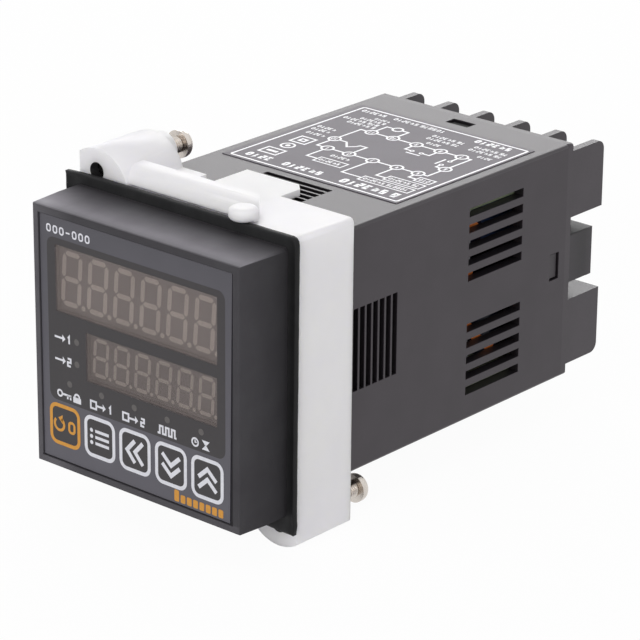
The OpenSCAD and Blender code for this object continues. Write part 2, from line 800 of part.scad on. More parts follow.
module terminal_block()
    color([0.3, 0.29, 0.31]) difference() {
        union() {
            along_y(flange_y, fin_root_y) round_rect(case_size, case_size, case_corner_round);
            along_y(skirt_front_y, flange_y) difference() {
                square(skirt_size, center = true);
                square(skirt_size - 2 * skirt_wall, center = true);
            }
            four_sides() latch_tooth();
            for (row = [0, 1]) mirror([0, 0, row]) terminal_row();
            along_x(-row_width / 2, row_width / 2) {
                span([flange_y, -rail_web / 2], [fin_root_y + rail_standoff, rail_web / 2]);
                span([fin_root_y + rail_standoff, -rail_width / 2],
                    [fin_root_y + rail_standoff + rail_thickness, rail_width / 2]);
            }
        }
        contact_slots();
        terminal_holes();
    }

// Contacts: a bent strip from each seat to its board
module terminal_contacts()
    color([0.75, 0.62, 0.3])
        at_terminals() difference() {
            union() {
                translate([0, 0, contact_outer - contact_thickness])
                    along_z(0, contact_thickness)
                        span([-contact_tail_width / 2, board_end_y - contact_tail_overlap],
                            [contact_tail_width / 2, plate_y]);
                along_y(seat_y, plate_y)
                    span([-clamp_plate_size / 2, row_middle - clamp_plate_size / 2],
                        [clamp_plate_size / 2, contact_outer]);
            }
            translate([0, 0, row_middle])
                along_y(seat_y - cut_margin, plate_y + cut_margin)
                    circle(terminal_screw_diameter / 2 + terminal_screw_clearance);
        }

module clamp_plates()
    color([0.72, 0.72, 0.7])
        at_terminals() translate([0, 0, row_middle])
            along_y(plate_y, head_y) difference() {
                square(clamp_plate_size, center = true);
                circle(terminal_screw_diameter / 2 + terminal_screw_clearance);
            }

// A pan-head screw along Y, with its head's seat at the given place and its tip in front of it
module pan_screw(seat, length, diameter, head_diameter, head_height) {
    head_round = head_height / 2;
    tip_chamfer = diameter / 6;
    rotate([-90, 0, 0]) difference() {
        rotate_extrude() {
            span([0, seat - head_round], [head_diameter / 2, seat + head_height - head_round]);
            span([0, seat], [head_diameter / 2 - head_round, seat + head_height]);
            intersection() {
                translate([head_diameter / 2 - head_round, seat + head_height - head_round]) circle(head_round);
                span([0, seat], [head_diameter, seat + head_height]);
            }
        }
        translate([0, 0, seat - head_height]) cylinder(h = head_height, d = 2 * head_diameter);
        for (turn = [0, 90])
            rotate([0, 0, turn])
                translate([-head_diameter / 3, -cross_width / 2, seat + head_height - cross_depth])
                    cube([head_diameter * 2 / 3, cross_width, cross_depth + cut_margin]);
    }
    rotate([-90, 0, 0]) {
        translate([0, 0, seat - length + tip_chamfer])
            cylinder(h = length - tip_chamfer, d = diameter);
        translate([0, 0, seat - length])
            cylinder(h = tip_chamfer, d1 = diameter - 2 * tip_chamfer, d2 = diameter);
    }
}

module terminal_screws()
    color([0.75, 0.73, 0.68])
        at_terminals() translate([0, 0, row_middle])
            pan_screw(head_y, terminal_screw_length + clamp_plate_thickness, terminal_screw_diameter,
                terminal_head_diameter, terminal_head_height);

module panel_gasket()
    color([0.12, 0.12, 0.12])
        along_y(0, gasket_thickness) difference() {
            round_rect(gasket_size, gasket_size, gasket_round);
            square(case_size + 2 * gasket_clearance, center = true);
        }

// Mounting bracket: a frame round the case with a screw boss and a sprung pawl at two corners
module bracket_frame()
    difference() {
        along_y(bracket_y, bracket_rear_y) difference() {
            round_rect(frame_width, frame_height, bracket_round);
            square(opening_size, center = true);
        }
        along_y(bracket_y + tie_depth, bracket_rear_y + cut_margin)
            square([2 * pawl_gap_half, frame_height + cut_margin], center = true);
    }

module clamp_corner_outline()
    intersection() {
        translate([-clamp_x, clamp_corner_top - clamp_corner_round]) circle(clamp_corner_round);
        span([-frame_width / 2, opening_size / 2], [0, clamp_corner_top]);
    }

module arm_profile()
    intersection() {
        union() {
            translate([bracket_y + arm_round, arm_top - arm_round]) circle(arm_round);
            span([bracket_y + arm_round, opening_size / 2], [arm_rear_y, arm_top]);
        }
        span([bracket_y, arm_bottom], [arm_rear_y, arm_top]);
    }

module pawl() {
    along_x(-pawl_width / 2, pawl_width / 2)
        span([arm_rear_y - pawl_web, pawl_bottom], [arm_rear_y, arm_top]);
    along_x(-pawl_width / 2, pawl_width / 2 - pawl_chamfer)
        for (i = [0:tooth_count - 1])
            translate([pawl_end_y - i * ratchet_pitch, 0])
                polygon([[0, pawl_bottom], [-ratchet_slot, pawl_bottom], [-ratchet_slot / 2, pawl_tip],
                    [-ratchet_slot / 4, pawl_tip]]);
    along_z(pawl_bottom, pawl_bottom + pawl_thickness)
        polygon([[-pawl_width / 2, arm_rear_y - pawl_web], [pawl_width / 2, arm_rear_y - pawl_web],
            [pawl_width / 2, pawl_end_y - pawl_chamfer], [pawl_width / 2 - pawl_chamfer, pawl_end_y],
            [-pawl_width / 2, pawl_end_y]]);
}

module spring_arm()
    intersection() {
        along_x(-clamp_x, nose_x + nose_flank) arm_profile();
        along_z(arm_bottom, arm_top)
            polygon([[-clamp_x, bracket_y], [nose_x + nose_flank, bracket_y],
                [nose_x + nose_flank, nose_y + nose_flank], [arm_reach, arm_rear_y],
                [-clamp_x, arm_rear_y]]);
    }

// The arm ends in a rounded nose that reaches over the gasket's edge to the panel
module arm_nose()
    translate([nose_x, nose_y, (nose_bottom + arm_top) / 2])
        rotate_extrude() intersection() {
            round_rect(2 * nose_radius, arm_top - nose_bottom, nose_round);
            span([0, nose_bottom - arm_top], [nose_radius, arm_top - nose_bottom]);
        }

module clamp_corner() {
    along_y(bracket_y, bracket_rear_y) clamp_corner_outline();
    spring_arm();
    arm_nose();
    pawl();
}

module upper_boss()
    along_y(bracket_y, boss_rear_y) translate([-clamp_x, clamp_z]) circle(d = boss_diameter);

module clamp_bore()
    along_y(bracket_y - cut_margin, boss_rear_y + cut_margin)
        translate([-clamp_x, clamp_z]) circle(clamp_diameter / 2 + clamp_clearance);

module both_corners()
    for (turn = [0, 180]) rotate([0, turn, 0]) children();

module mounting_bracket()
    color([0.94, 0.94, 0.95]) translate([0, 0, -bracket_drop]) difference() {
        union() {
            bracket_frame();
            both_corners() clamp_corner();
            upper_boss();
        }
        both_corners() clamp_bore();
    }

module clamp_screw(out)
    color([0.75, 0.7, 0.62])
        translate([-clamp_x, 0, clamp_z])
            pan_screw(bracket_y + out + clamp_length, clamp_length, clamp_diameter, clamp_head_diameter,
                clamp_head_height);

module clamp_screw_upper()
    translate([0, 0, -bracket_drop]) clamp_screw(clamp_upper_out);

module clamp_screw_lower()
    translate([0, 0, -bracket_drop]) rotate([0, 180, 0]) clamp_screw(clamp_lower_out);

housing();
front_film();
upper_display();
upper_digits();
lower_display();
lower_digits();
indicator_lamps();
key_reset();
key_mode();
key_left();
key_down();
key_up();
key_switches();
display_board();
control_chip();
board_connectors();
upper_board();
lower_board();
transformer_core();
transformer_coil();
relays();
capacitors();
rating_label();
terminal_block();
terminal_contacts();
clamp_plates();
terminal_screws();
panel_gasket();
mounting_bracket();
clamp_screw_upper();
clamp_screw_lower();
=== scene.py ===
"""Panel counter: finishes, printed front, label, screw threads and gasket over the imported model."""
import math
import bmesh
import bpy
from mathutils import Matrix, Vector


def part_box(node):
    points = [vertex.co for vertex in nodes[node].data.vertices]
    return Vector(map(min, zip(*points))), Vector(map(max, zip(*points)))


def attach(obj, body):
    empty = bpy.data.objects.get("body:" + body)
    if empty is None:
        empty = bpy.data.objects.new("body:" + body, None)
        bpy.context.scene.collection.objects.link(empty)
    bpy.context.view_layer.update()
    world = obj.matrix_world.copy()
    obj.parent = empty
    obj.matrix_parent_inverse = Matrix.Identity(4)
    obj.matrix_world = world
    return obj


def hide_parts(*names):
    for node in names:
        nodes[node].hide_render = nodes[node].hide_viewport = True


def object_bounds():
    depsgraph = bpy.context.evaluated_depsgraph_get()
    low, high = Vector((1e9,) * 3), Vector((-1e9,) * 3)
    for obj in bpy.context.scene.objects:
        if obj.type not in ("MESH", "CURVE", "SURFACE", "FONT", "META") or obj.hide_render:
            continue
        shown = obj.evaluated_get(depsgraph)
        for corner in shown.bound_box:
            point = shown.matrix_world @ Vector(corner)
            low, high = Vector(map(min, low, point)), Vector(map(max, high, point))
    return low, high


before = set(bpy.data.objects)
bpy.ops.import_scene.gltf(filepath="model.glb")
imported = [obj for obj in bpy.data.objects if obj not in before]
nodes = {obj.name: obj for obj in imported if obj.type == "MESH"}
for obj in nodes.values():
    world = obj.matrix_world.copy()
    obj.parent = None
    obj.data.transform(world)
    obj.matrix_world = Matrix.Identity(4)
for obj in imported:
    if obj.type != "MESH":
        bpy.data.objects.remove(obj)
cad_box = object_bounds()
scene = bpy.context.scene
MM = 0.001

# Camera, fitted to the square front in the photograph
CAMERA_PLACE = Vector((364.07, -383.34, 210.91)) * MM
CAMERA_RIGHT = Vector((0.75331619, 0.65760811, 0.00814212))
CAMERA_UP = Vector((-0.24409113, 0.26807707, 0.93196256))
CAMERA_LENS = 185.888
SENSOR_WIDTH = 36.0


def add_object(name, data):
    obj = bpy.data.objects.new(name, data)
    scene.collection.objects.link(obj)
    return obj


def add_camera():
    data = bpy.data.cameras.new("camera")
    data.sensor_width = SENSOR_WIDTH
    data.lens = CAMERA_LENS
    camera = add_object("camera", data)
    axes = Matrix((CAMERA_RIGHT, CAMERA_UP, CAMERA_RIGHT.cross(CAMERA_UP))).transposed()
    camera.matrix_world = Matrix.Translation(CAMERA_PLACE) @ axes.to_4x4()
    scene.camera = camera


add_camera()


# Colours and node helpers
def colour(red, green, blue):
    """A colour written as 0 to 255, in the renderer's linear numbers, by the sRGB curve."""
    parts = []
    for part in (red, green, blue):
        share = part / 255.0
        parts.append(share / 12.92 if share <= 0.04045 else ((share + 0.055) / 1.055) ** 2.4)
    return (*parts, 1.0)


# Most of a noise's values lie between these two
NOISE_LOW = 0.3
NOISE_HIGH = 0.7
# Detail of a fine grain and of soft clouds
FINE_DETAIL = 3.0
CLOUD_DETAIL = 4.0
BORE_BLEND = 0.05


def larger(tree, first, second):
    """The larger of two values."""
    node = tree.nodes.new("ShaderNodeMath")
    node.operation = "MAXIMUM"
    tree.links.new(first, node.inputs[0])
    tree.links.new(second, node.inputs[1])
    return node.outputs["Value"]


class Finish:
    """A node material under construction."""

    def __init__(self, name):
        self.material = bpy.data.materials.new(name)
        self.material.use_nodes = True
        self.tree = self.material.node_tree
        self.shader = self.tree.nodes["Principled BSDF"]
        self.coords = self.node("TexCoord").outputs["Object"]

    def node(self, kind):
        return self.tree.nodes.new("ShaderNode" + kind)

    def link(self, source, socket):
        self.tree.links.new(source, socket)

    def set(self, **values):
        for key, value in values.items():
            socket = key.replace("_", " ").title().replace("Ior", "IOR")
            self.shader.inputs[socket].default_value = value

    def noise(self, size, detail=2.0, stretch=None):
        """Cloudy noise with spots of the given size in millimetres."""
        node = self.node("TexNoise")
        node.inputs["Scale"].default_value = 1.0 / (size * MM)
        node.inputs["Detail"].default_value = detail
        source = self.coords
        if stretch:
            mapping = self.node("Mapping")
            mapping.inputs["Scale"].default_value = stretch
            self.link(source, mapping.inputs["Vector"])
            source = mapping.outputs["Vector"]
        self.link(source, node.inputs["Vector"])
        return node.outputs["Fac"]

    def span(self, source, low, high, start=NOISE_LOW, end=NOISE_HIGH):
        """A value that runs from low to high with the source."""
        node = self.node("MapRange")
        for key, value in (("From Min", start), ("From Max", end), ("To Min", low), ("To Max", high)):
            node.inputs[key].default_value = value
        self.link(source, node.inputs["Value"])
        return node.outputs["Result"]

    def tint(self, source, low, high):
        """Base colour that runs from one colour to another with the source."""
        node = self.node("Mix")
        node.data_type = "RGBA"
        node.inputs["A"].default_value = colour(*low)
        node.inputs["B"].default_value = colour(*high)
        self.link(self.span(source, 0.0, 1.0), node.inputs["Factor"])
        self.link(node.outputs["Result"], self.shader.inputs["Base Color"])

    def ramp(self, axis, start, end):
        """A value that runs from 0 to 1 between two places along an axis, in millimetres."""
        parts = self.node("SeparateXYZ")
        self.link(self.coords, parts.inputs["Vector"])
        return self.span(parts.outputs[axis], 0.0, 1.0, start * MM, end * MM)

    def either(self, first, second):
        return larger(self.tree, first, second)

    def multiply_base(self, operation, factor, socket):
        """Base colour times a factor, by a vector node with a socket for it."""
        node = self.node("VectorMath")
        node.operation = operation
        base = self.shader.inputs["Base Color"]
        self.link(base.links[0].from_socket, node.inputs[0])
        self.link(factor, node.inputs[socket])
        self.link(node.outputs["Vector"], base)

    def shade(self, source, low, high=1.0):
        """Base colour times a value that runs from low to high with the source."""
        self.multiply_base("SCALE", self.span(source, low, high, 0.0, 1.0), "Scale")

    def tone(self, source, factors):
        """Base colour times a colour where the source is 0, and as it was where it is 1."""
        mix = self.node("Mix")
        mix.data_type = "RGBA"
        mix.inputs["A"].default_value = (*factors, 1.0)
        mix.inputs["B"].default_value = (1.0, 1.0, 1.0, 1.0)
        self.link(source, mix.inputs["Factor"])
        self.multiply_base("MULTIPLY", mix.outputs["Result"], 1)

    def beyond(self, near, far):
        """A value of 0 round the middle line of the case, and 1 outside a square about it."""
        sides = [self.ramp(axis, side * near, side * far) for axis in ("X", "Z") for side in (1, -1)]
        return self.either(self.either(sides[0], sides[1]), self.either(sides[2], sides[3]))

    def outside_bore(self, place, radius):
        """A value of 0 in a bore along Y, and 1 outside it. Its place is in metres."""
        flat = self.node("VectorMath")
        flat.operation = "MULTIPLY"
        flat.inputs[1].default_value = (1.0, 0.0, 1.0)
        self.link(self.coords, flat.inputs[0])
        away = self.node("VectorMath")
        away.operation = "DISTANCE"
        away.inputs[1].default_value = (place[0], 0.0, place[1])
        self.link(flat.outputs["Vector"], away.inputs[0])
        return self.span(away.outputs["Value"], 0.0, 1.0, radius * MM, (radius + BORE_BLEND) * MM)

    def gloss(self, source, low, high):
        level = self.shader.inputs["Specular IOR Level"]
        self.link(self.span(source, low, high, 0.0, 1.0), level)

    def rough(self, source, low, high):
        self.link(self.span(source, low, high), self.shader.inputs["Roughness"])

    def bump(self, source, depth):
        """Relief of the given depth in millimetres."""
        node = self.node("Bump")
        node.inputs["Strength"].default_value = 1.0
        node.inputs["Distance"].default_value = depth * MM
        self.link(source, node.inputs["Height"])
        self.link(node.outputs["Normal"], self.shader.inputs["Normal"])


def moulded(name, low, high, rough, grain=0.2, relief=0.004, mottle=6.0):
    """Moulded plastic: faint clouds in its colour and a fine spark-eroded grain."""
    finish = Finish(name)
    fine = finish.noise(grain, FINE_DETAIL)
    finish.tint(finish.noise(mottle, CLOUD_DETAIL), low, high)
    finish.rough(fine, *rough)
    finish.bump(fine, relief)
    return finish


def metal(name, low, high, rough, stretch=(1.0, 8.0, 1.0)):
    """Turned or rolled metal with fine marks along one direction."""
    mark_size, cloud_size, relief = 0.35, 1.2, 0.0015
    finish = Finish(name)
    marks = finish.noise(mark_size, FINE_DETAIL, stretch)
    finish.set(metallic=1.0)
    finish.tint(finish.noise(cloud_size, FINE_DETAIL), low, high)
    finish.rough(marks, *rough)
    finish.bump(marks, relief)
    return finish


def ink(name, low, high, rough):
    """Screen-printed ink: slightly uneven cover and a faint mesh-like relief."""
    cover_size, gloss_size, mesh_size, relief = 0.5, 0.2, 0.12, 0.002
    finish = Finish(name)
    finish.tint(finish.noise(cover_size, FINE_DETAIL), low, high)
    finish.rough(finish.noise(gloss_size), *rough)
    finish.bump(finish.noise(mesh_size), relief)
    return finish


# Case plastic: places in millimetres where a shade starts and ends, and the shade there
PANEL_FACE = (-0.3, 0.3)
BEZEL_TONE = (1.14, 1.38, 1.2)
BEZEL_DEPTH = (-11.0, -1.0)
BEZEL_SHADES = (1.6, 0.9)
BEHIND_SHADE = 1.11
BEZEL_GLOSS, CASE_GLOSS = 0.1, 0.45
BEZEL_ROUGH, CASE_ROUGH = 0.75, 0.45
TOP_LEVEL = (24.05, 23.9)
TOP_SHADES = [("Y", (-9.0, -0.5), 4.5), ("X", (-22.5, -18.0), 1.5), ("Y", (-11.3, -11.0), 0.55)]
RIM_DEPTH = (-11.6, -11.2)
LEFT_RIM, LEFT_RIM_SHADE = (-24.0, -14.0), 1.9
LOWER_RIM, LOWER_RIM_END, LOWER_RIM_SHADE = (-22.6, -22.4), (-20.0, -23.0), 1.5
INSIDE, INSIDE_SHADE, RECESS_SHADE = (22.55, 22.65), 0.3, 2.1


def case_plastic():
    """Plastic of the bezel and the case, shaded as the photograph shows it."""
    finish = moulded("case_plastic", (48, 42, 48), (53, 47, 53), (0.4, 0.5), relief=0.016)
    # The bezel is a more neutral grey than the case behind it, and painted light makes it paler towards
    # its front
    behind_panel = finish.ramp("Y", *PANEL_FACE)
    finish.tone(behind_panel, BEZEL_TONE)
    finish.shade(finish.either(finish.ramp("Y", *BEZEL_DEPTH), behind_panel), *BEZEL_SHADES)
    finish.shade(behind_panel, 1.0, BEHIND_SHADE)
    # Painted highlight makes its top pale towards the front and the left end, and painted shade darkens
    # its front edge
    below_top = finish.ramp("Z", *TOP_LEVEL)
    for axis, stretch, shade in TOP_SHADES:
        finish.shade(finish.either(finish.ramp(axis, *stretch), below_top), shade)
    # Painted light makes the rim round the film palest at the left and along its foot
    behind_rim = finish.ramp("Y", *RIM_DEPTH)
    finish.shade(finish.either(behind_rim, finish.ramp("X", *LEFT_RIM)), LEFT_RIM_SHADE)
    above_foot = finish.either(finish.ramp("Z", *LOWER_RIM), finish.ramp("X", *LOWER_RIM_END))
    finish.shade(finish.either(behind_rim, above_foot), LOWER_RIM_SHADE)
    # Painted shade darkens slots and vents inside, and the film's recess a little less
    outer = finish.beyond(*INSIDE)
    finish.shade(outer, INSIDE_SHADE)
    finish.shade(finish.either(outer, behind_panel), RECESS_SHADE)
    finish.gloss(behind_panel, BEZEL_GLOSS, CASE_GLOSS)
    finish.rough(behind_panel, BEZEL_ROUGH, CASE_ROUGH)
    return finish


SKIRT_END, SKIRT_SHADE = (77.4, 78.4), 0.7
LATCH_LEVEL, LATCH_SHADE = (20.0, 19.0), 0.08
LATCH_GLOSS, BLOCK_GLOSS = 0.02, 0.5


def block_plastic():
    """Plastic of the terminal block. Its skirt shows only through the latch window, in painted shade."""
    finish = moulded("block_plastic", (52, 46, 52), (57, 51, 57), (0.4, 0.5), relief=0.016)
    past_skirt = finish.ramp("Y", *SKIRT_END)
    lit = finish.either(past_skirt, finish.ramp("Z", *LATCH_LEVEL))
    finish.shade(lit, LATCH_SHADE)
    finish.gloss(lit, LATCH_GLOSS, BLOCK_GLOSS)
    finish.shade(past_skirt, SKIRT_SHADE)
    return finish


RAIL_FRONT, RAIL_REAR, RAIL_SHADES = (84.2, 80.8), (85.6, 87.4), (0.5, 0.9)
RAIL_TOP, RAIL_TOP_SHADE = (4.4, 4.6), 0.4


def rail_plastic():
    """Plastic of the rail's ends, darker in the middle and on the upper side, which the rows shade."""
    finish = moulded("rail_plastic", (50, 46, 51), (55, 51, 56), (0.5, 0.6), grain=0.16, relief=0.008)
    off_middle = finish.either(finish.ramp("Y", *RAIL_FRONT), finish.ramp("Y", *RAIL_REAR))
    finish.shade(off_middle, *RAIL_SHADES)
    finish.shade(finish.ramp("Z", *RAIL_TOP), 1.0, RAIL_TOP_SHADE)
    return finish


BORE_RADIUS, BORE_SHADE = 1.62, 0.04


def axis_of(node):
    """Place across and up of a node's middle line along Y, in metres."""
    low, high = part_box(node)
    return (low.x + high.x) / 2, (low.z + high.z) / 2


def white_nylon():
    """Translucent nylon. The bores of the clamp screws look dark in the photograph."""
    finish = moulded("nylon", (242, 240, 245), (246, 244, 248), (0.36, 0.46), grain=0.5, relief=0.008,
                     mottle=10.0)
    finish.set(subsurface_weight=0.8, subsurface_scale=0.0025, subsurface_radius=(1.0, 1.0, 1.1))
    finish.set(specular_ior_level=0.15)
    # Painted shade makes the bores of the clamp screws near black
    for node in ("clamp_screw_upper", "clamp_screw_lower"):
        finish.shade(finish.outside_bore(axis_of(node), BORE_RADIUS), BORE_SHADE)
    return finish


GASKET_RIGHT, GASKET_SHADES = (24.0, 25.4), (1.45, 0.6)


def gasket_rubber():
    """Dull rubber, with painted light on most of it and painted shade at the right edge."""
    finish = moulded("gasket_rubber", (26, 26, 27), (33, 33, 34), (0.55, 0.7), grain=0.25, relief=0.02,
                     mottle=3.0)
    finish.set(specular_ior_level=0.2)
    finish.shade(finish.ramp("X", *GASKET_RIGHT), *GASKET_SHADES)
    return finish


case_finish = case_plastic()
block_finish = block_plastic()
rail_finish = rail_plastic()
nylon_finish = white_nylon()
rubber_finish = gasket_rubber()

# Front film, with painted light paler towards its foot, and its inks
FILM_HEIGHT, FILM_SHADES = (-22.0, 22.0), (1.15, 0.85)
film_finish = moulded("film_sheet", (75, 73, 81), (80, 78, 86), (0.36, 0.44), grain=0.1, relief=0.002,
                      mottle=9.0)
film_finish.shade(film_finish.ramp("Z", *FILM_HEIGHT), *FILM_SHADES)
field_finish = ink("film_field", (39, 35, 38), (43, 39, 42), (0.32, 0.4))
white_ink = ink("white_ink", (216, 216, 224), (226, 226, 232), (0.4, 0.5))
label_ink = ink("label_ink", (244, 243, 248), (250, 250, 252), (0.35, 0.45))
orange_ink = ink("orange_ink", (204, 141, 44), (212, 149, 53), (0.4, 0.5))
lamp_ink = ink("lamp_window", (80, 76, 76), (88, 84, 82), (0.3, 0.4))

# Displays and the smoked panes before them. The upper window catches more light than the lower one
WINDOW_HEIGHT, WINDOW_SHADES = (2.0, 8.0), (0.95, 1.09)
PANE_COVER = 0.3
display_finish = moulded("display_face", (126, 117, 113), (132, 123, 119), (0.5, 0.6), grain=0.3)
digit_finish = moulded("digit_inlay", (196, 183, 175), (204, 191, 182), (0.4, 0.5), grain=0.3)
pane_finish = moulded("film_window", (125, 115, 113), (131, 121, 119), (0.3, 0.4), grain=0.1, relief=0.002)
pane_finish.set(alpha=PANE_COVER)
for window_finish in (display_finish, digit_finish, pane_finish):
    window_finish.shade(window_finish.ramp("Z", *WINDOW_HEIGHT), *WINDOW_SHADES)
lamp_finish = moulded("lamp_lens", (150, 140, 132), (164, 152, 143), (0.3, 0.4), grain=0.3)
key_finish = moulded("key_plastic", (60, 60, 64), (68, 68, 72), (0.45, 0.55), grain=0.16)

# Label and the things inside the case
label_finish = moulded("label", (79, 73, 82), (84, 78, 87), (0.52, 0.6), grain=0.12, relief=0.002,
                       mottle=8.0)
switch_finish = moulded("switch_plastic", (34, 34, 36), (40, 40, 42), (0.45, 0.6))
board_finish = moulded("board", (126, 138, 112), (146, 156, 128), (0.35, 0.5), grain=0.25, mottle=2.0)
chip_finish = moulded("chip", (30, 30, 33), (38, 38, 41), (0.5, 0.6), grain=0.12)
tape_finish = moulded("coil_tape", (206, 112, 52), (222, 130, 66), (0.3, 0.42), grain=0.8, relief=0.02,
                      mottle=3.0)
relay_finish = moulded("relay_plastic", (38, 52, 84), (46, 62, 96), (0.35, 0.45))
sleeve_finish = moulded("capacitor_sleeve", (28, 34, 52), (38, 44, 64), (0.28, 0.36), grain=0.4)

# Metals, with marks along Y. The clamp screws have painted shade where they lie inside the bracket
LAMINATED = (1.0, 12.0, 1.0)
SCREW_INSIDE, SCREW_SHADE = (7.0, 9.0), 0.12
core_finish = metal("core_steel", (120, 120, 124), (140, 140, 144), (0.4, 0.55), LAMINATED)
brass_finish = metal("contact_brass", (196, 160, 88), (212, 178, 108), (0.28, 0.4))
plated_finish = metal("plated_steel", (212, 204, 190), (228, 220, 207), (0.24, 0.34))
screw_finish = metal("screw_steel", (200, 193, 186), (216, 209, 202), (0.2, 0.3))
screw_finish.shade(screw_finish.ramp("Y", *SCREW_INSIDE), SCREW_SHADE)

NODE_FINISHES = [
    (case_finish, ["housing"]),
    (display_finish, ["upper_display", "lower_display"]),
    (digit_finish, ["upper_digits", "lower_digits"]),
    (lamp_finish, ["indicator_lamps"]),
    (key_finish, ["key_reset", "key_mode", "key_left", "key_down", "key_up"]),
    (switch_finish, ["key_switches", "board_connectors"]),
    (board_finish, ["display_board", "upper_board", "lower_board"]),
    (chip_finish, ["control_chip"]),
    (core_finish, ["transformer_core"]),
    (tape_finish, ["transformer_coil"]),
    (relay_finish, ["relays"]),
    (sleeve_finish, ["capacitors"]),
    (label_finish, ["rating_label"]),
    (block_finish, ["terminal_block"]),
    (brass_finish, ["terminal_contacts"]),
    (plated_finish, ["clamp_plates", "terminal_screws", "clamp_screw_upper", "clamp_screw_lower"]),
    (rubber_finish, ["panel_gasket"]),
    (nylon_finish, ["mounting_bracket"]),
    (film_finish, ["front_film"]),
]
SOFT_EDGES = {"housing": 0.2, "terminal_block": 0.15, "mounting_bracket": 0.5}
WELD_GAP = 0.002
FLAT_ANGLE = 0.5
EDGE_ANGLE = 40.0
EDGE_STEPS = 2


def paint(obj, finish):
    obj.data.materials.clear()
    obj.data.materials.append(finish.material)


def soften(obj, width):
    """Small rounded edges on a moulding, as modifiers."""
    weld = obj.modifiers.new("weld", "WELD")
    weld.merge_threshold = WELD_GAP * MM
    flat = obj.modifiers.new("flat", "DECIMATE")
    flat.decimate_type = "DISSOLVE"
    flat.angle_limit = math.radians(FLAT_ANGLE)
    bevel = obj.modifiers.new("bevel", "BEVEL")
    bevel.width = width * MM
    bevel.segments = EDGE_STEPS
    bevel.limit_method = "ANGLE"
    bevel.angle_limit = math.radians(EDGE_ANGLE)
    bevel.use_clamp_overlap = True
    bevel.harden_normals = True


for node_finish, node_names in NODE_FINISHES:
    for node_name in node_names:
        paint(nodes[node_name], node_finish)
for node_name, edge_width in SOFT_EDGES.items():
    soften(nodes[node_name], edge_width)

# Flat outlines in millimetres
CORNER_STEPS = 6
MITRE_LIMIT = 0.35


def arc(centre, radius, start, end, steps=10):
    points = []
    for step in range(steps + 1):
        angle = math.radians(start + (end - start) * step / steps)
        points.append((centre[0] + radius * math.cos(angle), centre[1] + radius * math.sin(angle)))
    return points


def disc(centre, radius, steps=28):
    return arc(centre, radius, 0.0, 360.0 * (steps - 1) / steps, steps - 1)


def rounded(low, high, radius):
    """A rectangle between two corners, with rounded corners, starting at the upper right."""
    points = []
    for sx, sz, start in ((1, 1, 0), (-1, 1, 90), (-1, -1, 180), (1, -1, 270)):
        corner_x = (high[0] if sx > 0 else low[0]) - sx * radius
        corner_z = (high[1] if sz > 0 else low[1]) - sz * radius
        points += arc((corner_x, corner_z), radius, start, start + 90, CORNER_STEPS)
    return points


def square(low, high):
    return [(low[0], low[1]), (high[0], low[1]), (high[0], high[1]), (low[0], high[1])]


def inset(low, high, gap):
    """The two corners of a rectangle, moved inwards."""
    return (low[0] + gap, low[1] + gap), (high[0] - gap, high[1] - gap)


def centred(place, size):
    """The two corners of a rectangle about a place."""
    half_x, half_z = size[0] / 2, size[1] / 2
    return (place[0] - half_x, place[1] - half_z), (place[0] + half_x, place[1] + half_z)


def stroke(points, width):
    """Outline of an open line of the given width, with mitred corners."""
    left, right = [], []
    for index, point in enumerate(points):
        here = Vector(point)
        before = here - Vector(points[index - 1]) if index else None
        after = Vector(points[index + 1]) - here if index + 1 < len(points) else None
        first = (before or after).normalized()
        second = (after or before).normalized()
        normal = Vector((-first.y, first.x)) + Vector((-second.y, second.x))
        normal.normalize()
        reach = width / 2 / max(MITRE_LIMIT, normal.dot(Vector((-first.y, first.x))))
        left.append(tuple(here + normal * reach))
        right.append(tuple(here - normal * reach))
    return left + right[::-1]


# Each of these places a flat outline on a side of the case, at a level in millimetres
def on_front(y):
    return lambda u, v, rise: Vector((u, y - rise, v)) * MM


def on_top(z):
    return lambda u, v, rise: Vector((u, v, z + rise)) * MM


def on_side(x, side):
    return lambda u, v, rise: Vector((side * (x + rise), u, v)) * MM


def new_piece(name, mesh_data, finish, body):
    obj = add_object(name, mesh_data)
    paint(obj, finish)
    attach(obj, body)
    return obj


def bridge(mesh, first, second):
    """Faces between two closed loops of points."""
    for i in range(len(first)):
        j = (i + 1) % len(first)
        mesh.faces.new((first[i], first[j], second[j], second[i]))


def tube(mesh, loops):
    """Faces along a row of loops, closed at both ends."""
    for first, second in zip(loops, loops[1:]):
        bridge(mesh, first, second)
    mesh.faces.new(loops[0])
    mesh.faces.new(loops[-1])


def close_mesh(mesh, name):
    bmesh.ops.recalc_face_normals(mesh, faces=mesh.faces[:])
    data = bpy.data.meshes.new(name)
    mesh.to_mesh(data)
    mesh.free()
    return data


def printed(name, shapes, place, thickness, finish):
    """Thin printed or cut pieces. A shape is one outline, or two of equal length for a ring."""
    mesh = bmesh.new()
    for shape in shapes:
        is_ring = isinstance(shape[0][0], tuple)
        loops = []
        for outline in shape if is_ring else [shape]:
            for rise in (0.0, thickness):
                loops.append([mesh.verts.new(place(u, v, rise)) for u, v in outline])
        if is_ring:
            for first, second in ((0, 1), (1, 3), (3, 2), (2, 0)):
                bridge(mesh, loops[first], loops[second])
        else:
            tube(mesh, loops)
    return new_piece(name, close_mesh(mesh, name), finish, "housing")


def shown_mesh(obj):
    """The mesh of an object as it is shown, modifiers included."""
    bpy.context.view_layer.update()
    return bpy.data.meshes.new_from_object(obj.evaluated_get(bpy.context.evaluated_depsgraph_get()))


SAME_POINT = 0.0005


